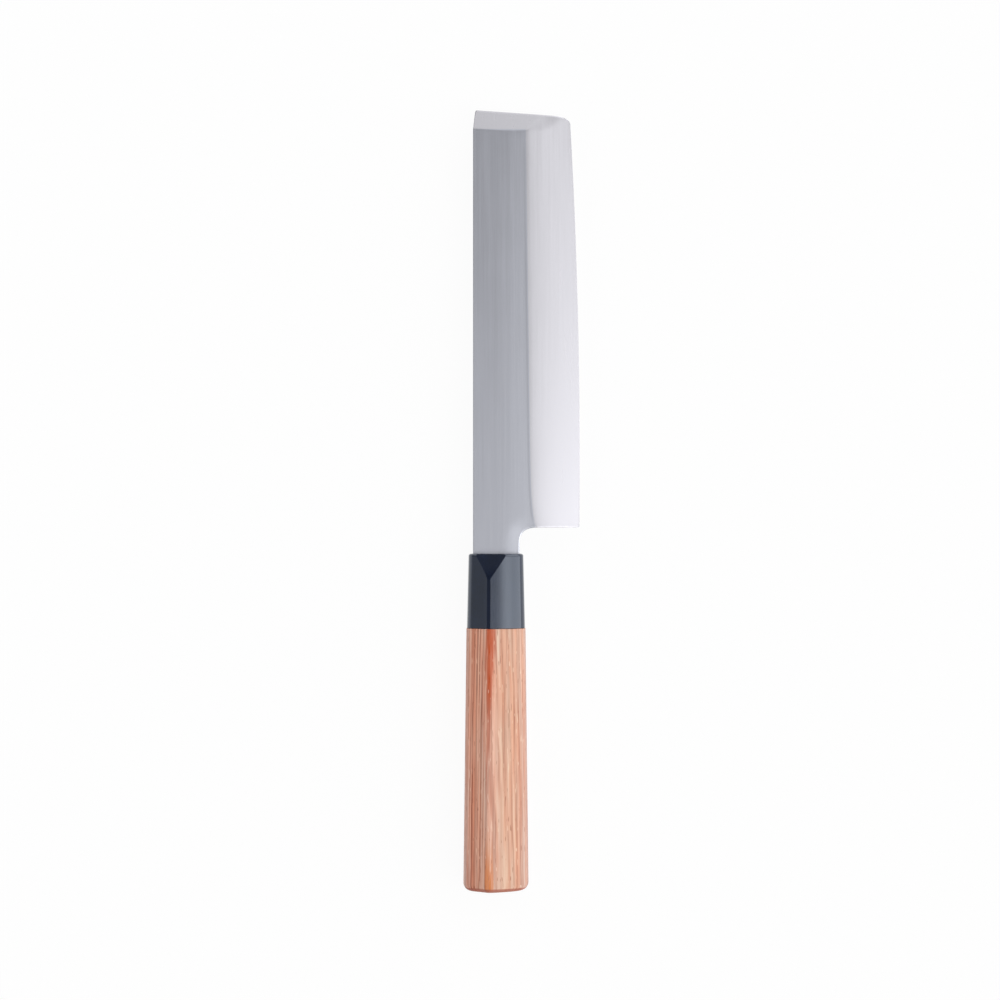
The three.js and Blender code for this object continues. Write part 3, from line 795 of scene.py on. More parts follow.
    def top_z(self, x, y):
        """The bevelled face."""
        flat = self.top - self.flat_drop(x, y)
        bevel = self.top - self.bevel_drop(x, y)
        slope = (self.s.thickness - self.s.tip_thickness) / self.s.tip_bevel
        tip = self.top - slope * (y - self.tip_start + self.TIP_LEAN * (x - self.spine))
        beside = np.maximum(x - self.bevel_x(y), 0)
        crease = np.clip(self.CORNER_CREASE_GROWTH * beside, *self.CORNER_CREASE)
        ground = soft_min(bevel, tip, crease)
        return soft_min(flat, ground, self.CREASE)

    def back_z(self, x, y):
        """The back, flat at its rim and hollow inside it."""
        rim = self.s.hollow_rim
        ends = np.minimum(y - self.heel - rim, self.tip_edge - rim - y) / self.s.hollow_runout
        along = np.clip(ends, 0, 1)
        low, high = self.spine + rim, self.edge_x(y) - rim
        across = np.clip((x - low) / (high - low), 0, 1)
        depth = self.s.hollow_depth * along * (2 - along)
        return depth * 4 * across * (1 - across) - self.top

    def neck_line(self):
        """The outline from the shoulder along the neck and the choil to the bevel line."""
        choil = [self.choil(t) for t in np.linspace(0, 1, self.NECK_STEPS)]
        return np.array([[self.neck, self.shoulder], *choil])

    def neck_drop(self, plan):
        """Fall of the flat towards that line, fading out at the bevel line and in the ferrule."""
        x, y = plan[:, 0], plan[:, 1]
        near = np.maximum(1 - distance_to(plan, self.neck_line()) / self.s.neck_fall_width, 0)
        bevel_line = self.bevel_x(np.maximum(y, self.heel))
        beside = np.clip((bevel_line - x) / self.NECK_FALL_FADE, 0, 1)
        shown = np.clip(1 - y / self.shoulder, 0, 1)
        return self.s.neck_fall * near ** 2 * beside * shown

    def eased_lines(self):
        """The outline's stretches that are rounded, how wide, and how high for that width."""
        below = np.linspace(self.tip_start, self.shoulder, self.SPINE_STEPS)
        spine = [[self.spine + self.s.spine_lean, self.tip_left_y()]]
        spine += [[self.spine, y] for y in below]
        neck = self.neck_line()
        heel = [neck[-1], [self.edge_x(self.heel), self.heel]]
        return [
            (np.array(spine), self.s.spine_ease, 1.0),
            (neck, self.s.neck_ease, 1.0),
            (np.array(heel), self.s.heel_ease, self.s.heel_ease_height),
            (self.tip_outline, self.s.tip_ease, 1.0),
        ]


# Columns of the blade's mesh: distances from spine, neck, bevel line and edge, and shares between
SPINE_COLUMNS = [d * MM for d in (0.1, 0.22, 0.4, 0.66, 1.2)]
FLAT_SHARES = (0.17, 0.35, 0.43, 0.51, 0.59, 0.67, 0.83, 0.88)
NECK_COLUMNS = [d * MM for d in (1.0, 0.5, 0.15)]
BEVEL_COLUMNS = [d * MM for d in (0.12, 0.25, 0.5, 0.9, 1.6, 2.4)]
BEVEL_SHARES = np.linspace(0.16, 0.84, 12)
EDGE_COLUMN = 1.6 * MM
EDGE_BEVEL_SHARES = (1.15, 1, 0.85, 0.5, 0.2, 0)

# Its rows: distances from the heel's rounding and the tip bevel's start, and shares above that
HEEL_ROWS = [d * MM for d in (0.2, 0.5, 1.1, 2.2, 3.6, 5.2, 7.2, 9.8)]
MIDDLE_ROWS = 60
TIP_ROWS = [d * MM for d in (-1.4, -0.7, -0.35, -0.15, 0, 0.15, 0.3)]
TIP_SHARES = (0.12, 0.26, 0.42, 0.58, 0.74, 0.88)

# Rows below the heel: along the choil, closer together near the heel, in the mouth and on the tang
CHOIL_ROWS, CHOIL_CROWDING = 14, 1.4
MOUTH_ROWS = [d * MM for d in (-2.0, 0.0, 1.0)]
TANG_ROWS = 17


def blade_columns(rules):
    """Columns of the blade's mesh from the spine to the bevel line, and from there to the edge.
    Each is a share of its width and a distance added to it. Also the shares of the tang's sides."""
    s = rules.s
    tang = [(side * s.tang_width / 2 - rules.spine) / s.neck_width for side in (-1, 1)]
    flat = [(0, d) for d in ease_offsets(s.spine_ease)]
    flat += [(0, s.spine_ease + d) for d in SPINE_COLUMNS] + [(0, s.hollow_rim)]
    flat += [(part, 0) for part in sorted((*FLAT_SHARES, *tang))]
    flat += [(1, -d - s.neck_ease) for d in NECK_COLUMNS]
    flat += [(1, -d) for d in reversed(ease_offsets(s.neck_ease))]
    bevel = [(0, d) for d in BEVEL_COLUMNS] + [(part, 0) for part in BEVEL_SHARES]
    bevel += [(1, -s.hollow_rim), (1, -EDGE_COLUMN)]
    bevel += [(1, -s.edge_bevel * part) for part in EDGE_BEVEL_SHARES]
    return flat, bevel, tang


def column_x(column, low, high):
    """A column's x at each y, between two boundaries."""
    part, offset = column
    return lambda y: low(y) + part * (high(y) - low(y)) + offset


def blade_rows(rules):
    """Rows of the mesh: heights up to the tip's bevel, then shares of what is left above it."""
    ease = rules.s.heel_ease
    start = [rules.heel + d for d in (*ease_offsets(ease), *(ease + d for d in HEEL_ROWS))]
    before_tip = [rules.tip_start + d for d in TIP_ROWS]
    middle = np.linspace(start[-1], before_tip[0], MIDDLE_ROWS + 2)[1:-1]
    tops = [(part, 0) for part in TIP_SHARES]
    tops += [(1, -d) for d in reversed(ease_offsets(rules.s.tip_ease))]
    return [*start, *middle, *before_tip], tops


class Plan:
    """Points in plan and the quads between them, counterclockwise."""

    def __init__(self):
        self.points = []
        self.quads = []

    def lay(self, rows):
        """Adds rows of points and the quads between them, and gives back the points' numbers.
        A number in a row stands for a point that is there already."""
        numbers = []
        for row in rows:
            first = len(self.points)
            numbers.append([n if isinstance(n, int) else first + k for k, n in enumerate(row)])
            self.points.extend(n for n in row if not isinstance(n, int))
        for below, above in zip(numbers, numbers[1:]):
            for k in range(len(below) - 1):
                self.quads.append((below[k], below[k + 1], above[k + 1], above[k]))
        return numbers


def blade_plan(rules):
    """Blade, neck and tang in plan: their points and the quads between them."""
    flat, bevel, tang = blade_columns(rules)
    inside = [k for k, (part, off) in enumerate(flat) if off == 0 and tang[0] <= part <= tang[1]]
    spots = [(flat[k][0] - tang[0]) / (tang[1] - tang[0]) for k in inside]
    plan = Plan()
    blade = plan.lay(blade_points(rules, flat, bevel))
    neck = plan.lay([*neck_points(rules, flat), blade[0][:len(flat)]])
    plan.lay([*tang_points(rules, spots), [neck[0][k] for k in inside]])
    return np.array(plan.points), plan.quads


def blade_points(rules, flat, bevel):
    """Rows of points from the heel to the tip."""
    columns = [column_x(c, rules.spine_x, rules.bevel_x) for c in flat]
    columns += [column_x(c, rules.bevel_x, rules.edge_x) for c in bevel]
    fixed, tops = blade_rows(rules)
    last = fixed[-1]
    stacks = []
    for column in columns:
        room = rules.tip_y(column) - last
        heights = [*fixed, *(last + part * room + off for part, off in tops)]
        stacks.append([(float(column(y)), float(y)) for y in heights])
    return list(zip(*stacks))


def neck_points(rules, flat):
    """Rows of points from the shoulder through the ferrule's mouth and along the choil."""
    ends = [(rules.neck, rules.shoulder), *((rules.neck, y) for y in MOUTH_ROWS)]
    ends += [rules.choil(1 - (k / CHOIL_ROWS) ** CHOIL_CROWDING) for k in range(CHOIL_ROWS, 0, -1)]
    return [[(rules.spine + part * (right - rules.spine) + off, y) for part, off in flat]
            for right, y in ends]


def tang_points(rules, spots):
    """Rows of points from the tang's end to just short of the shoulder."""
    rows = []
    for along in np.linspace(1, 0, TANG_ROWS + 1)[:-1]:
        y = rules.shoulder - along * rules.s.tang_length
        half = between(rules.s.tang_width, rules.s.tang_end_width, along) / 2
        rows.append([(-half + 2 * half * spot, float(y)) for spot in spots])
    return rows


def outline_edges(quads):
    """Edges that only one quad has, in its own direction."""
    edges = {(q[k], q[(k + 1) % 4]) for q in quads for k in range(4)}
    return [(a, b) for a, b in edges if (b, a) not in edges]


# Most that a rounding may take of the blade's thickness, and the turn at which an edge is sharp
EASE_LIMIT = 0.45
BLADE_SHARP = 32

# Steels in the order of the blade's materials
FLAT_STEEL, BEVEL_STEEL, BACK_STEEL = range(3)

# Painted shade line on the flat, standing in for a dark reflection beside the bevel line: how far before
# the bevel line, how wide, and how it fades at heel and tip
LINE_BEFORE, LINE_WIDTH = 0.7 * MM, 0.55 * MM
LINE_HEEL_FADE, LINE_HEEL_LEAST = 5 * MM, 0.3
LINE_TIP_FADE = 60 * MM


def blade_heights(rules, plan):
    """Heights of the bevelled face and of the back over points in plan, with rounded edges."""
    x, y = plan[:, 0], plan[:, 1]
    on_blade = y >= rules.heel - ON_LINE
    neck = rules.top - rules.flat_drop(x, np.maximum(y, rules.heel))
    top = np.where(on_blade, rules.top_z(x, y), np.where(y > 0, neck, rules.top))
    top = top - rules.neck_drop(plan)
    back = np.where(on_blade, rules.back_z(x, y), -rules.top)
    top = np.maximum(top, back + rules.s.edge_land)
    for line, radius, flatness in rules.eased_lines():
        limit = np.minimum(radius, EASE_LIMIT * (top - back))
        short = np.maximum(limit - distance_to(plan, line), 0)
        drop = flatness * (limit - np.sqrt(np.maximum(limit ** 2 - short ** 2, 0)))
        top, back = top - drop, back + drop
    return top, back


def face_steels(rules, plan, quads):
    """Steel of each quad of the bevelled face."""
    steels = []
    for quad in quads:
        x, y = np.mean([plan[n] for n in quad], axis=0)
        ground = y > rules.tip_start or (y > rules.heel and x > rules.bevel_x(y))
        steels.append(BEVEL_STEEL if ground else FLAT_STEEL)
    return steels


def painted_bevel_line_shade(rules, plan):
    """How strongly the painted shade line beside the bevel line, standing in for a dark reflection there,
    shows at points in plan.
    """
    x, y = plan[:, 0], plan[:, 1]
    line = np.exp(-((x - rules.bevel_x(y) + LINE_BEFORE) / LINE_WIDTH) ** 2)
    from_heel = np.clip((y - rules.heel) / LINE_HEEL_FADE, LINE_HEEL_LEAST, 1)
    from_tip = np.clip((rules.tip_start - y) / LINE_TIP_FADE, 0, 1)
    return line * np.where(y < rules.heel, 0, from_heel) * from_tip


def blade_mesh(sizes, shoulder, materials):
    """The blade with its tang, in the knife's frame."""
    rules = BladeRules(sizes, shoulder)
    plan, quads = blade_plan(rules)
    count = len(plan)
    points = [(*spot, height) for heights in blade_heights(rules, plan)
              for spot, height in zip(plan, heights)]
    faces = [*quads, *(tuple(n + count for n in reversed(quad)) for quad in quads)]
    faces += [(b, a, a + count, b + count) for a, b in outline_edges(quads)]
    mesh = bpy.data.meshes.new("blade_dressed")
    mesh.from_pydata([Vector(p) + ORIGIN for p in points], [], faces)
    for material in materials:
        mesh.materials.append(material)
    steels = face_steels(rules, plan, quads) + [BACK_STEEL] * len(quads)
    steels += [FLAT_STEEL] * (len(faces) - len(steels))
    mesh.polygons.foreach_set("material_index", steels)
    # Painted shade line beside the bevel line, kept as the bevel_line attribute
    line = np.concatenate([painted_bevel_line_shade(rules, plan), np.zeros(count)])
    mark = mesh.attributes.new("bevel_line", "FLOAT", "POINT")
    mark.data.foreach_set("value", line.astype(np.float32))
    lay_along(mesh)
    finish_mesh(mesh, BLADE_SHARP)
    return mesh


# Scale and middle of the blade's UV map
UV_PER_METRE, UV_MIDDLE = 5, 0.5


def lay_along(mesh):
    """A UV map whose first direction runs along the blade, for the brushing."""
    layer = mesh.uv_layers.new(name="along_blade")
    for loop in mesh.loops:
        place = mesh.vertices[loop.vertex_index].co
        layer.data[loop.index].uv = (
            place.y * UV_PER_METRE + UV_MIDDLE, (place.x + place.z) * UV_PER_METRE + UV_MIDDLE)


def finish_mesh(mesh, sharp_degrees, flats=()):
    """Outward faces, smooth shading, and sharp edges at steep turns and round flat cuts."""
    mesh.update()
    form = bmesh.new()
    form.from_mesh(mesh)
    bmesh.ops.recalc_face_normals(form, faces=form.faces)
    limit = math.radians(sharp_degrees)
    for face in form.faces:
        face.smooth = True
    for edge in form.edges:
        turn = edge.calc_face_angle(0.0)
        cut = [is_cut(face, flats) for face in edge.link_faces]
        edge.smooth = turn < limit and len(set(cut)) < 2
    form.to_mesh(mesh)
    form.free()


# How near a level plane a corner counts as in it
LEVEL_TOLERANCE = 1e-6


def is_cut(face, flats):
    """Whether a face lies in one of the given level planes."""
    return any(all(abs(v.co.z - level) < LEVEL_TOLERANCE for v in face.verts) for level in flats)


# Handle


# Pulls of the ridge, flat on the ferrule and round on the wood, and the broad side's share of it
FERRULE_RIDGE_PULL, GRIP_RIDGE_PULL = 0.0, 0.62
RIDGE_BROAD_SHARE = 0.6

# A cubic curve's speed at its end for its pull, and points on each curve of the section
CUBIC_SPEED = 3
SECTION_STEPS = 24

# Rims, overlap of cutters, rings along each sweep and sides of a pin
EASED_RIM = 0.15 * MM
OVERLAP = 2 * MM
FERRULE_RINGS, GRIP_RINGS = 56, 72
PIN_SIDES = 96

# How late the butt's slant starts, and the turns at which edges are sharp, in degrees
SLANT_POWER = 4.0
FERRULE_SHARP, WOOD_SHARP = 20, 40


def new_object(name, data):
    """A new object in the scene."""
    made = bpy.data.objects.new(name, data)
    bpy.context.scene.collection.objects.link(made)
    return made


def section_curve(handle, ridge_width, pull):
    """The chestnut section as a closed curve, one unit from its middle to each side.
    Its ridge is eased over a width, flat where the pull is low and round where it is high."""
    aspect = handle.grip_butt_width / handle.grip_butt_thickness
    ridge = -handle.ridge_offset
    broad = handle.facet_reach * (1 - ridge)
    steep = handle.facet_reach * (1 + ridge)
    broad_end = 1 - broad * math.tan(handle.broad_slope) * aspect
    steep_end = 1 - steep * math.tan(handle.steep_slope) * aspect
    side, full = handle.side_fullness, handle.back_fullness
    crest = Vector((ridge, 1))
    broad_arc = [Vector((1, 0)), Vector((1, side)), Vector((ridge + broad, broad_end)), crest]
    steep_arc = [crest, Vector((ridge - steep, steep_end)), Vector((-1, side)), Vector((-1, 0))]
    eased = ridge_width / (handle.grip_front_width / 2) / CUBIC_SPEED
    broad_arc = split(broad_arc, 1 - RIDGE_BROAD_SHARE * eased / broad)[0]
    steep_arc = split(steep_arc, (1 - RIDGE_BROAD_SHARE) * eased / steep)[1]
    knots = [
        (Vector((1, 0)), Vector((1, -full)), broad_arc[1]),
        (broad_arc[3], broad_arc[2], broad_arc[3].lerp(crest, pull)),
        (steep_arc[0], steep_arc[0].lerp(crest, pull), steep_arc[1]),
        (Vector((-1, 0)), steep_arc[2], Vector((-1, -full))),
        (Vector((0, -1)), Vector((-full, -1)), Vector((full, -1))),
    ]
    data = bpy.data.curves.new("chestnut_section", "CURVE")
    data.dimensions = "3D"
    data.resolution_u = SECTION_STEPS
    spline = data.splines.new("BEZIER")
    spline.use_cyclic_u = True
    spline.bezier_points.add(len(knots) - 1)
    for point, (place, before, after) in zip(spline.bezier_points, knots):
        point.handle_left_type = point.handle_right_type = "FREE"
        point.co = (*place, 0)
        point.handle_left = (*before, 0)
        point.handle_right = (*after, 0)
    return new_object("chestnut_section", data)


def split(arc, at):
    """Two curves that a cubic curve falls into at one place."""
    a, b, c, d = arc
    ab, bc, cd = a.lerp(b, at), b.lerp(c, at), c.lerp(d, at)
    abc, bcd = ab.lerp(bc, at), bc.lerp(cd, at)
    middle = abc.lerp(bcd, at)
    return [a, ab, abc, middle], [middle, bcd, cd, d]


def new_tree(name, inputs):
    """A Geometry Nodes tree with named inputs and one geometry output."""
    tree = bpy.data.node_groups.new(name, "GeometryNodeTree")
    nodes = Nodes(tree)
    for label, kind in inputs:
        tree.interface.new_socket(label, in_out="INPUT", socket_type=kind)
    tree.interface.new_socket("Geometry", in_out="OUTPUT", socket_type="NodeSocketGeometry")
    return nodes, nodes.add("NodeGroupInput").outputs


SIZE = "NodeSocketFloat"
FORM_INPUTS = [
    ("Section", "NodeSocketObject"),
    ("Length", SIZE),
    ("Front Width", SIZE),
    ("Front Thickness", SIZE),
    ("Back Width", SIZE),
    ("Back Thickness", SIZE),
    ("Front Round", SIZE),
    ("Back Corner", SIZE),
    ("Back Rim", SIZE),
    ("Back Slant", SIZE),
    ("Rings", "NodeSocketInt"),
    ("Front", "NodeSocketVector"),
]
CUT_INPUTS = [("Material", "NodeSocketMaterial"), ("Bore Size", "NodeSocketVector"),
              ("Bore Place", "NodeSocketVector"), ("Box Size", "NodeSocketVector"),
              ("Box Place", "NodeSocketVector")]


def form_tree():
    """Sweeps the section back from the front place, widening, with both rims rounded."""
    nodes, given = new_tree("Chestnut Form", FORM_INPUTS)
    section = nodes.add("GeometryNodeObjectInfo", {"Object": given["Section"]})
    axis = nodes.add("GeometryNodeCurvePrimitiveLine",
                     {"Start": (0, 0, 0), "End": nodes.combine(z=given["Length"])})
    rings = nodes.add("GeometryNodeResampleCurve",
                      {"Curve": axis.outputs[0], "Count": given["Rings"]})
    where = nodes.separate(nodes.add("GeometryNodeInputPosition").outputs[0])
    part = nodes.math("DIVIDE", where[2], given["Length"])
    turn = nodes.math("COSINE", nodes.times(part, math.pi))
    eased = nodes.times(nodes.minus(1.0, turn), 0.5)
    spaced = nodes.add("GeometryNodeSetPosition", {
        "Geometry": rings.outputs[0],
        "Position": nodes.combine(z=nodes.times(eased, given["Length"])),
    })
    swept = nodes.add("GeometryNodeCurveToMesh", {
        "Curve": spaced.outputs[0],
        "Profile Curve": section.outputs["Geometry"],
        "Fill Caps": True,
    })
    to_back = nodes.minus(given["Length"], where[2])
    front_inset = rim_inset(nodes, where[2], given["Front Round"])
    halves = []
    for name, rounding in (("Width", "Back Corner"), ("Thickness", "Back Rim")):
        whole = nodes.ranged(part, 0.0, 1.0, given[f"Front {name}"], given[f"Back {name}"])
        inset = nodes.plus(front_inset, rim_inset(nodes, to_back, given[rounding]))
        halves.append(nodes.minus(nodes.times(whole, 0.5), inset))
    aside = nodes.times(where[0], halves[0])
    late = nodes.math("POWER", part, SLANT_POWER)
    to_edge = nodes.math("MAXIMUM", aside, 0.0)
    slant = nodes.times(nodes.times(to_edge, late), given["Back Slant"])
    place = nodes.combine(
        aside,
        nodes.minus(slant, where[2]),
        nodes.times(where[1], halves[1]),
    )
    shaped = nodes.add("GeometryNodeSetPosition", {
        "Geometry": swept.outputs[0],
        "Position": nodes.vector("ADD", place, given["Front"]),
    })
    nodes.add("NodeGroupOutput", {"Geometry": shaped.outputs[0]})
    return nodes.tree


def rim_inset(nodes, depth, radius):
    """How far a rounded rim is drawn in at a depth behind its face."""
    short = nodes.math("MAXIMUM", nodes.minus(radius, depth), 0.0)
    inside = nodes.math("MAXIMUM", nodes.minus(nodes.times(radius, radius), nodes.times(short, short)), 0.0)
    return nodes.minus(radius, nodes.math("SQRT", inside))


def nested_form(nodes, given, form):
    """The chestnut form inside another tree, with its inputs passed on."""
    group = nodes.add("GeometryNodeGroup")
    group.node_tree = form
    for label, _ in FORM_INPUTS:
        nodes.feed(group.inputs[label], given[label])
    return group.outputs[0]


def oval_pin(nodes, size, place):
    """An oval pin along the handle."""
    pin = nodes.add("GeometryNodeMeshCylinder", {"Vertices": PIN_SIDES, "Radius": 0.5, "Depth": 1.0})
    return nodes.add("GeometryNodeTransform", {
        "Geometry": nodes.add("GeometryNodeTransform", {
            "Geometry": pin.outputs["Mesh"], "Rotation": (math.pi / 2, 0, 0)}).outputs[0],
        "Scale": size,
        "Translation": place,
    }).outputs[0]


def block(nodes, size, place):
    """A block round a place."""
    cube = nodes.add("GeometryNodeMeshCube", {"Size": size})
    moved = nodes.add("GeometryNodeTransform", {"Geometry": cube.outputs["Mesh"], "Translation": place})
    return moved.outputs[0]


def joined(nodes, operation, first, second):
    """Two solids joined, cut or overlapped."""
    made = nodes.add("GeometryNodeMeshBoolean", operation=operation, solver="EXACT")
    nodes.feed(made.inputs["Mesh 1" if operation == "DIFFERENCE" else "Mesh 2"], first)
    nodes.feed(made.inputs["Mesh 2"], second)
    return made.outputs["Mesh"]


def close_tree(nodes, geometry, material):
    """Ends a tree in plain geometry with its material."""
    real = nodes.add("GeometryNodeRealizeInstances", {"Geometry": geometry})
    done = nodes.add("GeometryNodeSetMaterial", {"Geometry": real.outputs[0], "Material": material})
    nodes.add("NodeGroupOutput", {"Geometry": done.outputs[0]})


def ferrule_tree(form):
    """The ferrule: the form, bored from behind, slotted for the neck and cut flat in front."""
    nodes, given = new_tree("Ferrule", [
        *FORM_INPUTS, *CUT_INPUTS, ("Facet Place", "NodeSocketVector"),
        ("Facet Turn", "NodeSocketVector"), ("Facet Size", SIZE),
    ])
    body = nested_form(nodes, given, form)
    bore = oval_pin(nodes, given["Bore Size"], given["Bore Place"])
    slot = block(nodes, given["Box Size"], given["Box Place"])
    slotted = joined(nodes, "DIFFERENCE", joined(nodes, "DIFFERENCE", body, bore), slot)
    size = given["Facet Size"]
    raised = block(nodes, nodes.combine(size, size, size),
                   nodes.combine(z=nodes.times(size, 0.5)))
    turned = nodes.add("GeometryNodeTransform", {
        "Geometry": raised, "Rotation": given["Facet Turn"], "Translation": given["Facet Place"]})
    close_tree(nodes, joined(nodes, "DIFFERENCE", slotted, turned.outputs[0]), given["Material"])
    return nodes.tree


def veneer_tree(form):
    """One layer of the grip: the form with its tenon and socket, between two levels."""
    nodes, given = new_tree("Veneer", [
        *FORM_INPUTS, *CUT_INPUTS, ("Layer Size", "NodeSocketVector"),
        ("Layer Place", "NodeSocketVector"),
    ])
    body = nested_form(nodes, given, form)
    tenon = oval_pin(nodes, given["Bore Size"], given["Bore Place"])
    socket = block(nodes, given["Box Size"], given["Box Place"])
    hollow = joined(nodes, "DIFFERENCE", joined(nodes, "UNION", body, tenon), socket)
    between_levels = block(nodes, given["Layer Size"], given["Layer Place"])
    close_tree(nodes, joined(nodes, "INTERSECT", hollow, between_levels), given["Material"])
    return nodes.tree


def grown(name, tree, values):
    """A plain mesh piece from a tree and the values of its inputs."""
    seed = bpy.data.meshes.new(name + "_seed")
    piece = new_object(name, seed)
    modifier = piece.modifiers.new("form", "NODES")
    modifier.node_group = tree
    for item in tree.interface.items_tree:
        if item.in_out == "INPUT":
            modifier[item.identifier] = values[item.name]
    depsgraph = bpy.context.evaluated_depsgraph_get()
    mesh = bpy.data.meshes.new_from_object(piece.evaluated_get(depsgraph))
    mesh.name = name
    piece.modifiers.clear()
    piece.data = mesh
    bpy.data.meshes.remove(seed)
    return piece


def add_piece(name, mesh, node):
    """Shows a mesh as a piece that stands for a CAD node."""
    hand_over(new_object(name, mesh), node)


def hand_over(piece, node):
    """Ties a finished piece to the frame."""
    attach(piece, BODY)
    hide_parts(node)


def ferrule_values(handle, blade, section, material):
    """Inputs of the ferrule's tree."""
    wall, depth = handle.ferrule_wall, handle.ferrule_length
    gap, bond = handle.mouth_gap, handle.bond_gap
    bore = depth - wall + OVERLAP
    apex_share = handle.facet_length / depth
    apex_z = between(handle.ferrule_front_thickness, handle.ferrule_back_thickness, apex_share) / 2
    apex_x = -handle.ridge_offset / 2 * between(
        handle.ferrule_front_width, handle.ferrule_back_width, apex_share)
    neck_middle = blade.neck_width / 2 - blade.spine_offset
    return {
        "Section": section,
        "Length": depth,
        "Front Width": handle.ferrule_front_width,
        "Front Thickness": handle.ferrule_front_thickness,
        "Back Width": handle.ferrule_back_width,
        "Back Thickness": handle.ferrule_back_thickness,
        "Front Round": handle.ferrule_round,
        "Back Corner": EASED_RIM,
        "Back Rim": EASED_RIM,
        "Back Slant": 0.0,
        "Rings": FERRULE_RINGS,
        "Front": ORIGIN,
        "Material": material,
        "Bore Size": (handle.tenon_width + 2 * bond, bore, handle.tenon_thickness + 2 * bond),
        "Bore Place": ORIGIN + Vector((0, -wall - bore / 2, 0)),
        "Box Size": (blade.neck_width + 2 * gap, wall + 2 * OVERLAP, blade.thickness + 2 * gap),
        "Box Place": ORIGIN + Vector((neck_middle, -wall / 2, 0)),
        "Facet Place": ORIGIN + Vector((apex_x, -handle.facet_length, apex_z)),
        "Facet Turn": (-handle.facet_pitch, -handle.facet_roll, 0),
        "Facet Size": 2 * depth,
    }


def between(first, second, part):
    """A value between two others."""
    return first + (second - first) * part


def veneer_values(handle, blade, section, material, floor, ceiling):
    """Inputs of one veneer's tree."""
    front = handle.ferrule_length + handle.bond_gap
    tenon_front = handle.ferrule_wall + handle.bond_gap
    tenon = front - tenon_front + OVERLAP
    bed_end = handle.ferrule_wall + blade.tang_length + handle.bed_end
    socket_front = tenon_front - OVERLAP
    reach = handle.grip_length + front
    return {
        "Section": section,
        "Length": handle.grip_length,
        "Front Width": handle.grip_front_width,
        "Front Thickness": handle.grip_front_thickness,
        "Back Width": handle.grip_butt_width,
        "Back Thickness": handle.grip_butt_thickness,
        "Front Round": EASED_RIM,
        "Back Corner": handle.butt_corner,
        "Back Rim": handle.butt_rim,
        "Back Slant": math.tan(handle.butt_slant),
        "Rings": GRIP_RINGS,
        "Front": ORIGIN + Vector((0, -front, 0)),
        "Material": material,
        "Bore Size": (handle.tenon_width, tenon, handle.tenon_thickness),
        "Bore Place": ORIGIN + Vector((0, -tenon_front - tenon / 2, 0)),
        "Box Size": (
            blade.tang_width + 2 * handle.bed_wall,
            bed_end - socket_front,
            blade.thickness + 2 * handle.bed_wall,
        ),
        "Box Place": ORIGIN + Vector((0, -(bed_end + socket_front) / 2, 0)),
        "Layer Size": (2 * handle.grip_butt_width, 2 * reach, ceiling - floor),
        "Layer Place": Vector((ORIGIN.x, ORIGIN.y - front, (ceiling + floor) / 2)),
    }


# Stage


def grey_ramp(nodes, value, stops):
    """A brightness for each place along a value from -1 to 1."""
    return nodes.ramp(nodes.ranged(value, -1.0, 1.0),
                      [((place + 1) / 2, (shade,) * 3) for place, shade in stops])


# Brightness of the dome crosswise, from the spine's side to the edge's, and lengthwise to the tip
CROSSWISE_LIGHT = [
    (-1.0, 0.16), (-0.93, 0.125), (-0.84, 0.13), (-0.74, 0.3), (-0.62, 0.46), (-0.52, 0.33),
    (-0.44, 0.1), (-0.36, 0.035), (-0.2, 0.05), (-0.1, 0.16), (0.0, 0.235), (0.04, 0.278),
    (0.08, 0.308), (0.12, 0.293), (0.17, 0.262), (0.24, 0.425), (0.3, 0.565), (0.35, 0.58),
    (0.39, 0.25), (0.47, 0.17), (0.508, 0.66), (0.56, 0.735), (0.62, 0.7), (0.7, 0.63),
    (0.9, 0.66), (1.0, 0.68),
]
LENGTHWISE_LIGHT = [
    (-1.0, 0.35), (-0.62, 0.42), (-0.42, 1.05), (-0.3, 1.15), (-0.2, 0.98), (-0.08, 0.93),
    (0.0, 0.85), (0.06, 0.725), (0.12, 0.47), (0.2, 0.32), (0.3, 0.4), (0.42, 0.8),
    (0.54, 0.96), (1.0, 0.96),
]

# Strength of the light, and the heights over which the white horizon fades
DOME_STRENGTH = 4.0
HORIZON = (0.02, 0.14)


def dome_light(world):
    """Soft studio light from all sides: dim overhead and by the spine, bright by the edge, and
    white near the horizon."""
    nodes = Nodes(world.node_tree)
    x, y, z = nodes.separate(nodes.add("ShaderNodeTexCoord").outputs["Generated"])
    crosswise = grey_ramp(nodes, x, CROSSWISE_LIGHT)
    lengthwise = grey_ramp(nodes, y, LENGTHWISE_LIGHT)
    both = nodes.mix(1.0, crosswise, lengthwise, blend="MULTIPLY")
    low = nodes.ranged(z, *HORIZON, 1.0, 0.0, smooth=True)
    whitened = nodes.mix(low, both, (1 / DOME_STRENGTH,) * 3, blend="LIGHTEN")
    background = nodes.add("ShaderNodeBackground", {"Color": whitened, "Strength": DOME_STRENGTH})
    nodes.add("ShaderNodeOutputWorld", {"Surface": background.outputs[0]})


# Floor: how white the camera and polished faces see it, its speckle, and how far it goes in metres
FLOOR_WHITENESS = 0.94
SPECKLE_SCALE, SPECKLE_SHADE = 400.0, 0.98
FLOOR_REACH = 6.0


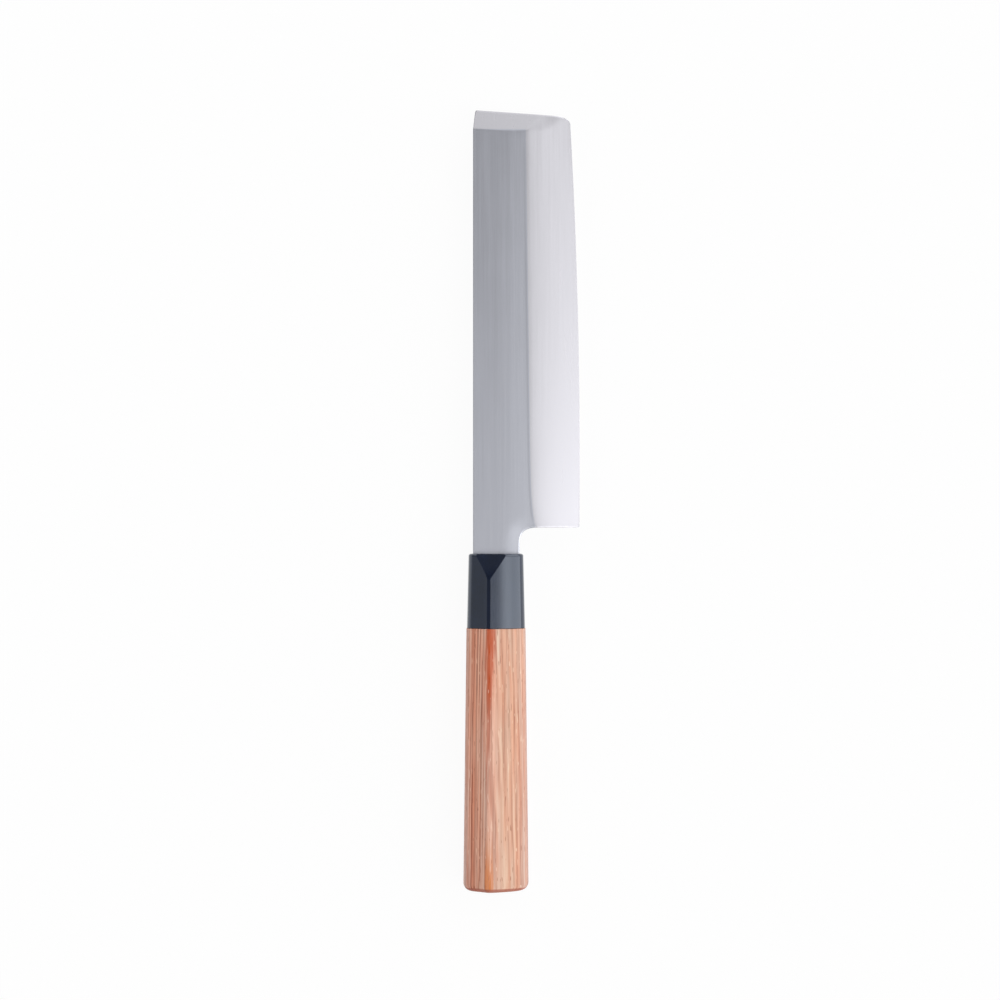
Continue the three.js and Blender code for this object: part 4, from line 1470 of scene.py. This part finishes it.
def floor_finish(name, tone):
    """A pale floor that the camera and polished faces see as white, with a faint shadow."""
    material, nodes = new_material(name)
    speckle = nodes.noise(object_place(nodes), scale=SPECKLE_SCALE, detail=2.0)
    darker = [SPECKLE_SHADE * part for part in tone]
    matt = nodes.add("ShaderNodeBsdfDiffuse", {
        "Color": nodes.ramp(speckle, [(NOISE_LOW, darker), (NOISE_HIGH, tone)]),
    })
    white = nodes.add("ShaderNodeEmission", {"Color": (1, 1, 1, 1), "Strength": 1.0})
    ray = nodes.add("ShaderNodeLightPath").outputs
    polished = nodes.math("MAXIMUM", ray["Is Glossy Ray"], ray["Is Transmission Ray"])
    seen = nodes.math("MAXIMUM", ray["Is Camera Ray"], polished)
    lifted = nodes.add("ShaderNodeMixShader", {
        0: nodes.times(seen, FLOOR_WHITENESS), 1: matt.outputs[0], 2: white.outputs[0],
    })
    close_surface(nodes, lifted)
    return material


def add_floor(look):
    """The floor under the knife."""
    corners = [(x * FLOOR_REACH, y * FLOOR_REACH, 0) for x, y in ((-1, -1), (1, -1), (1, 1), (-1, 1))]
    mesh = bpy.data.meshes.new("floor")
    mesh.from_pydata(corners, [], [(0, 1, 2, 3)])
    mesh.materials.append(floor_finish("pale_floor", look.floor_colour))
    floor = new_object("floor", mesh)


# Camera: millimetres of its sensor, and metres between which it sees
SENSOR_WIDTH = 36.0
CLIP_START, CLIP_END = 0.01, 50.0


def add_camera(look):
    """The camera straight above the knife."""
    data = bpy.data.cameras.new("camera")
    data.sensor_width = SENSOR_WIDTH
    data.lens = SENSOR_WIDTH * look.camera_height / look.view_width
    data.clip_start = CLIP_START
    data.clip_end = CLIP_END
    camera = new_object("camera", data)
    camera.location = (look.view_x, look.view_y, ORIGIN.z + look.camera_height)
    bpy.context.scene.camera = camera


# Operators


# Roughness, anisotropy, strength of the streaks and relief of each steel
STEEL_FINISHES = {
    "flat_steel": (0.24, 0.6, 0.045, 0.035),
    "bevel_steel": (0.25, 0.6, 0.03, 0.045),
    "back_steel": (0.22, 0.5, 0.05, 0.1),
}

# Room past the lowest and the highest seam, so that the outer layers keep their height
OUTER_ROOM = 1 * MM


class KNIFE_OT_stage(bpy.types.Operator):
    """Sets the floor, the light and the camera"""

    bl_idname = "knife.stage"
    bl_label = "Stage"

    def execute(self, context):
        look = context.scene.knife_stage
        context.scene.view_settings.view_transform = "Standard"
        world = bpy.data.worlds.new("studio")
        world.use_nodes = True
        context.scene.world = world
        dome_light(world)
        add_floor(look)
        add_camera(look)
        return {"FINISHED"}


class KNIFE_OT_blade(bpy.types.Operator):
    """Forges the blade with its bevels, hollow back, neck and tang"""

    bl_idname = "knife.blade"
    bl_label = "Blade"

    def execute(self, context):
        scene = context.scene
        materials = [brushed_steel(name, getattr(scene.knife_finish, name), *values)
                     for name, values in STEEL_FINISHES.items()]
        mesh = blade_mesh(scene.knife_blade, scene.knife_handle.ferrule_wall, materials)
        add_piece("blade_steel", mesh, "blade")
        return {"FINISHED"}


class KNIFE_OT_ferrule(bpy.types.Operator):
    """Moulds the black ferrule"""

    bl_idname = "knife.ferrule"
    bl_label = "Ferrule"

    def execute(self, context):
        scene = context.scene
        handle = scene.knife_handle
        section = section_curve(handle, handle.ferrule_ridge, FERRULE_RIDGE_PULL)
        black = gloss_black("ferrule_black", scene.knife_finish.ferrule_black)
        values = ferrule_values(handle, scene.knife_blade, section, black)
        piece = grown("ferrule_shell", ferrule_tree(form_tree()), values)
        bpy.data.objects.remove(section)
        finish_mesh(piece.data, FERRULE_SHARP)
        hand_over(piece, "ferrule")
        return {"FINISHED"}


class KNIFE_OT_grip(bpy.types.Operator):
    """Lays up the wooden grip from its veneers and finishes the tang's bed"""

    bl_idname = "knife.grip"
    bl_label = "Grip"

    def execute(self, context):
        scene = context.scene
        handle = scene.knife_handle
        section = section_curve(handle, handle.grip_ridge, GRIP_RIDGE_PULL)
        wood = laminated_wood("laminated_wood", scene.knife_finish, handle)
        tree = veneer_tree(form_tree())
        count = len(VENEER_NAMES)
        seams = [ORIGIN.z + handle.veneer_thickness * (i - count / 2) for i in range(count + 1)]
        for i, name in enumerate(VENEER_NAMES):
            floor = seams[i] - (OUTER_ROOM if i == 0 else 0)
            ceiling = seams[i + 1] + (OUTER_ROOM if i == count - 1 else 0)
            values = veneer_values(handle, scene.knife_blade, section, wood, floor, ceiling)
            piece = grown(f"wood_layer_{i + 1:02d}", tree, values)
            finish_mesh(piece.data, WOOD_SHARP, seams)
            hand_over(piece, name)
        bpy.data.objects.remove(section)
        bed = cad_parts["tang_bed"].data
        bed.materials.clear()
        bed.materials.append(bed_resin("bed_resin", scene.knife_finish.resin))
        return {"FINISHED"}


class KNIFE_PT_sidebar(bpy.types.Panel):
    """Lists the knife's pieces and their sizes"""

    bl_idname = "KNIFE_PT_sidebar"
    bl_label = "Usuba Knife"
    bl_space_type = "VIEW_3D"
    bl_region_type = "UI"
    bl_category = "Knife"

    def draw(self, context):
        for made in (KNIFE_OT_blade, KNIFE_OT_ferrule, KNIFE_OT_grip, KNIFE_OT_stage):
            self.layout.operator(made.bl_idname)
        for name in GROUPS:
            group = getattr(context.scene, name)
            box = self.layout.box()
            for key in group.bl_rna.properties.keys():
                if key not in ("rna_type", "name"):
                    box.prop(group, key)


GROUPS = {
    "knife_blade": BladeSizes,
    "knife_handle": HandleSizes,
    "knife_finish": KnifeFinish,
    "knife_stage": StageLook,
}
CLASSES = (
    *GROUPS.values(), KNIFE_OT_stage, KNIFE_OT_blade, KNIFE_OT_ferrule, KNIFE_OT_grip,
    KNIFE_PT_sidebar,
)


def register():
    """Makes the knife's settings, operators and panel known to Blender."""
    for made in CLASSES:
        bpy.utils.register_class(made)
    for name, group in GROUPS.items():
        setattr(bpy.types.Scene, name, PointerProperty(type=group))


def unregister():
    """Takes them away again."""
    for name in GROUPS:
        delattr(bpy.types.Scene, name)
    for made in reversed(CLASSES):
        bpy.utils.unregister_class(made)


def main():
    """Builds the whole scene."""
    register()
    bpy.ops.knife.stage()
    bpy.ops.knife.blade()
    bpy.ops.knife.ferrule()
    bpy.ops.knife.grip()


if __name__ == "__main__":
    main()
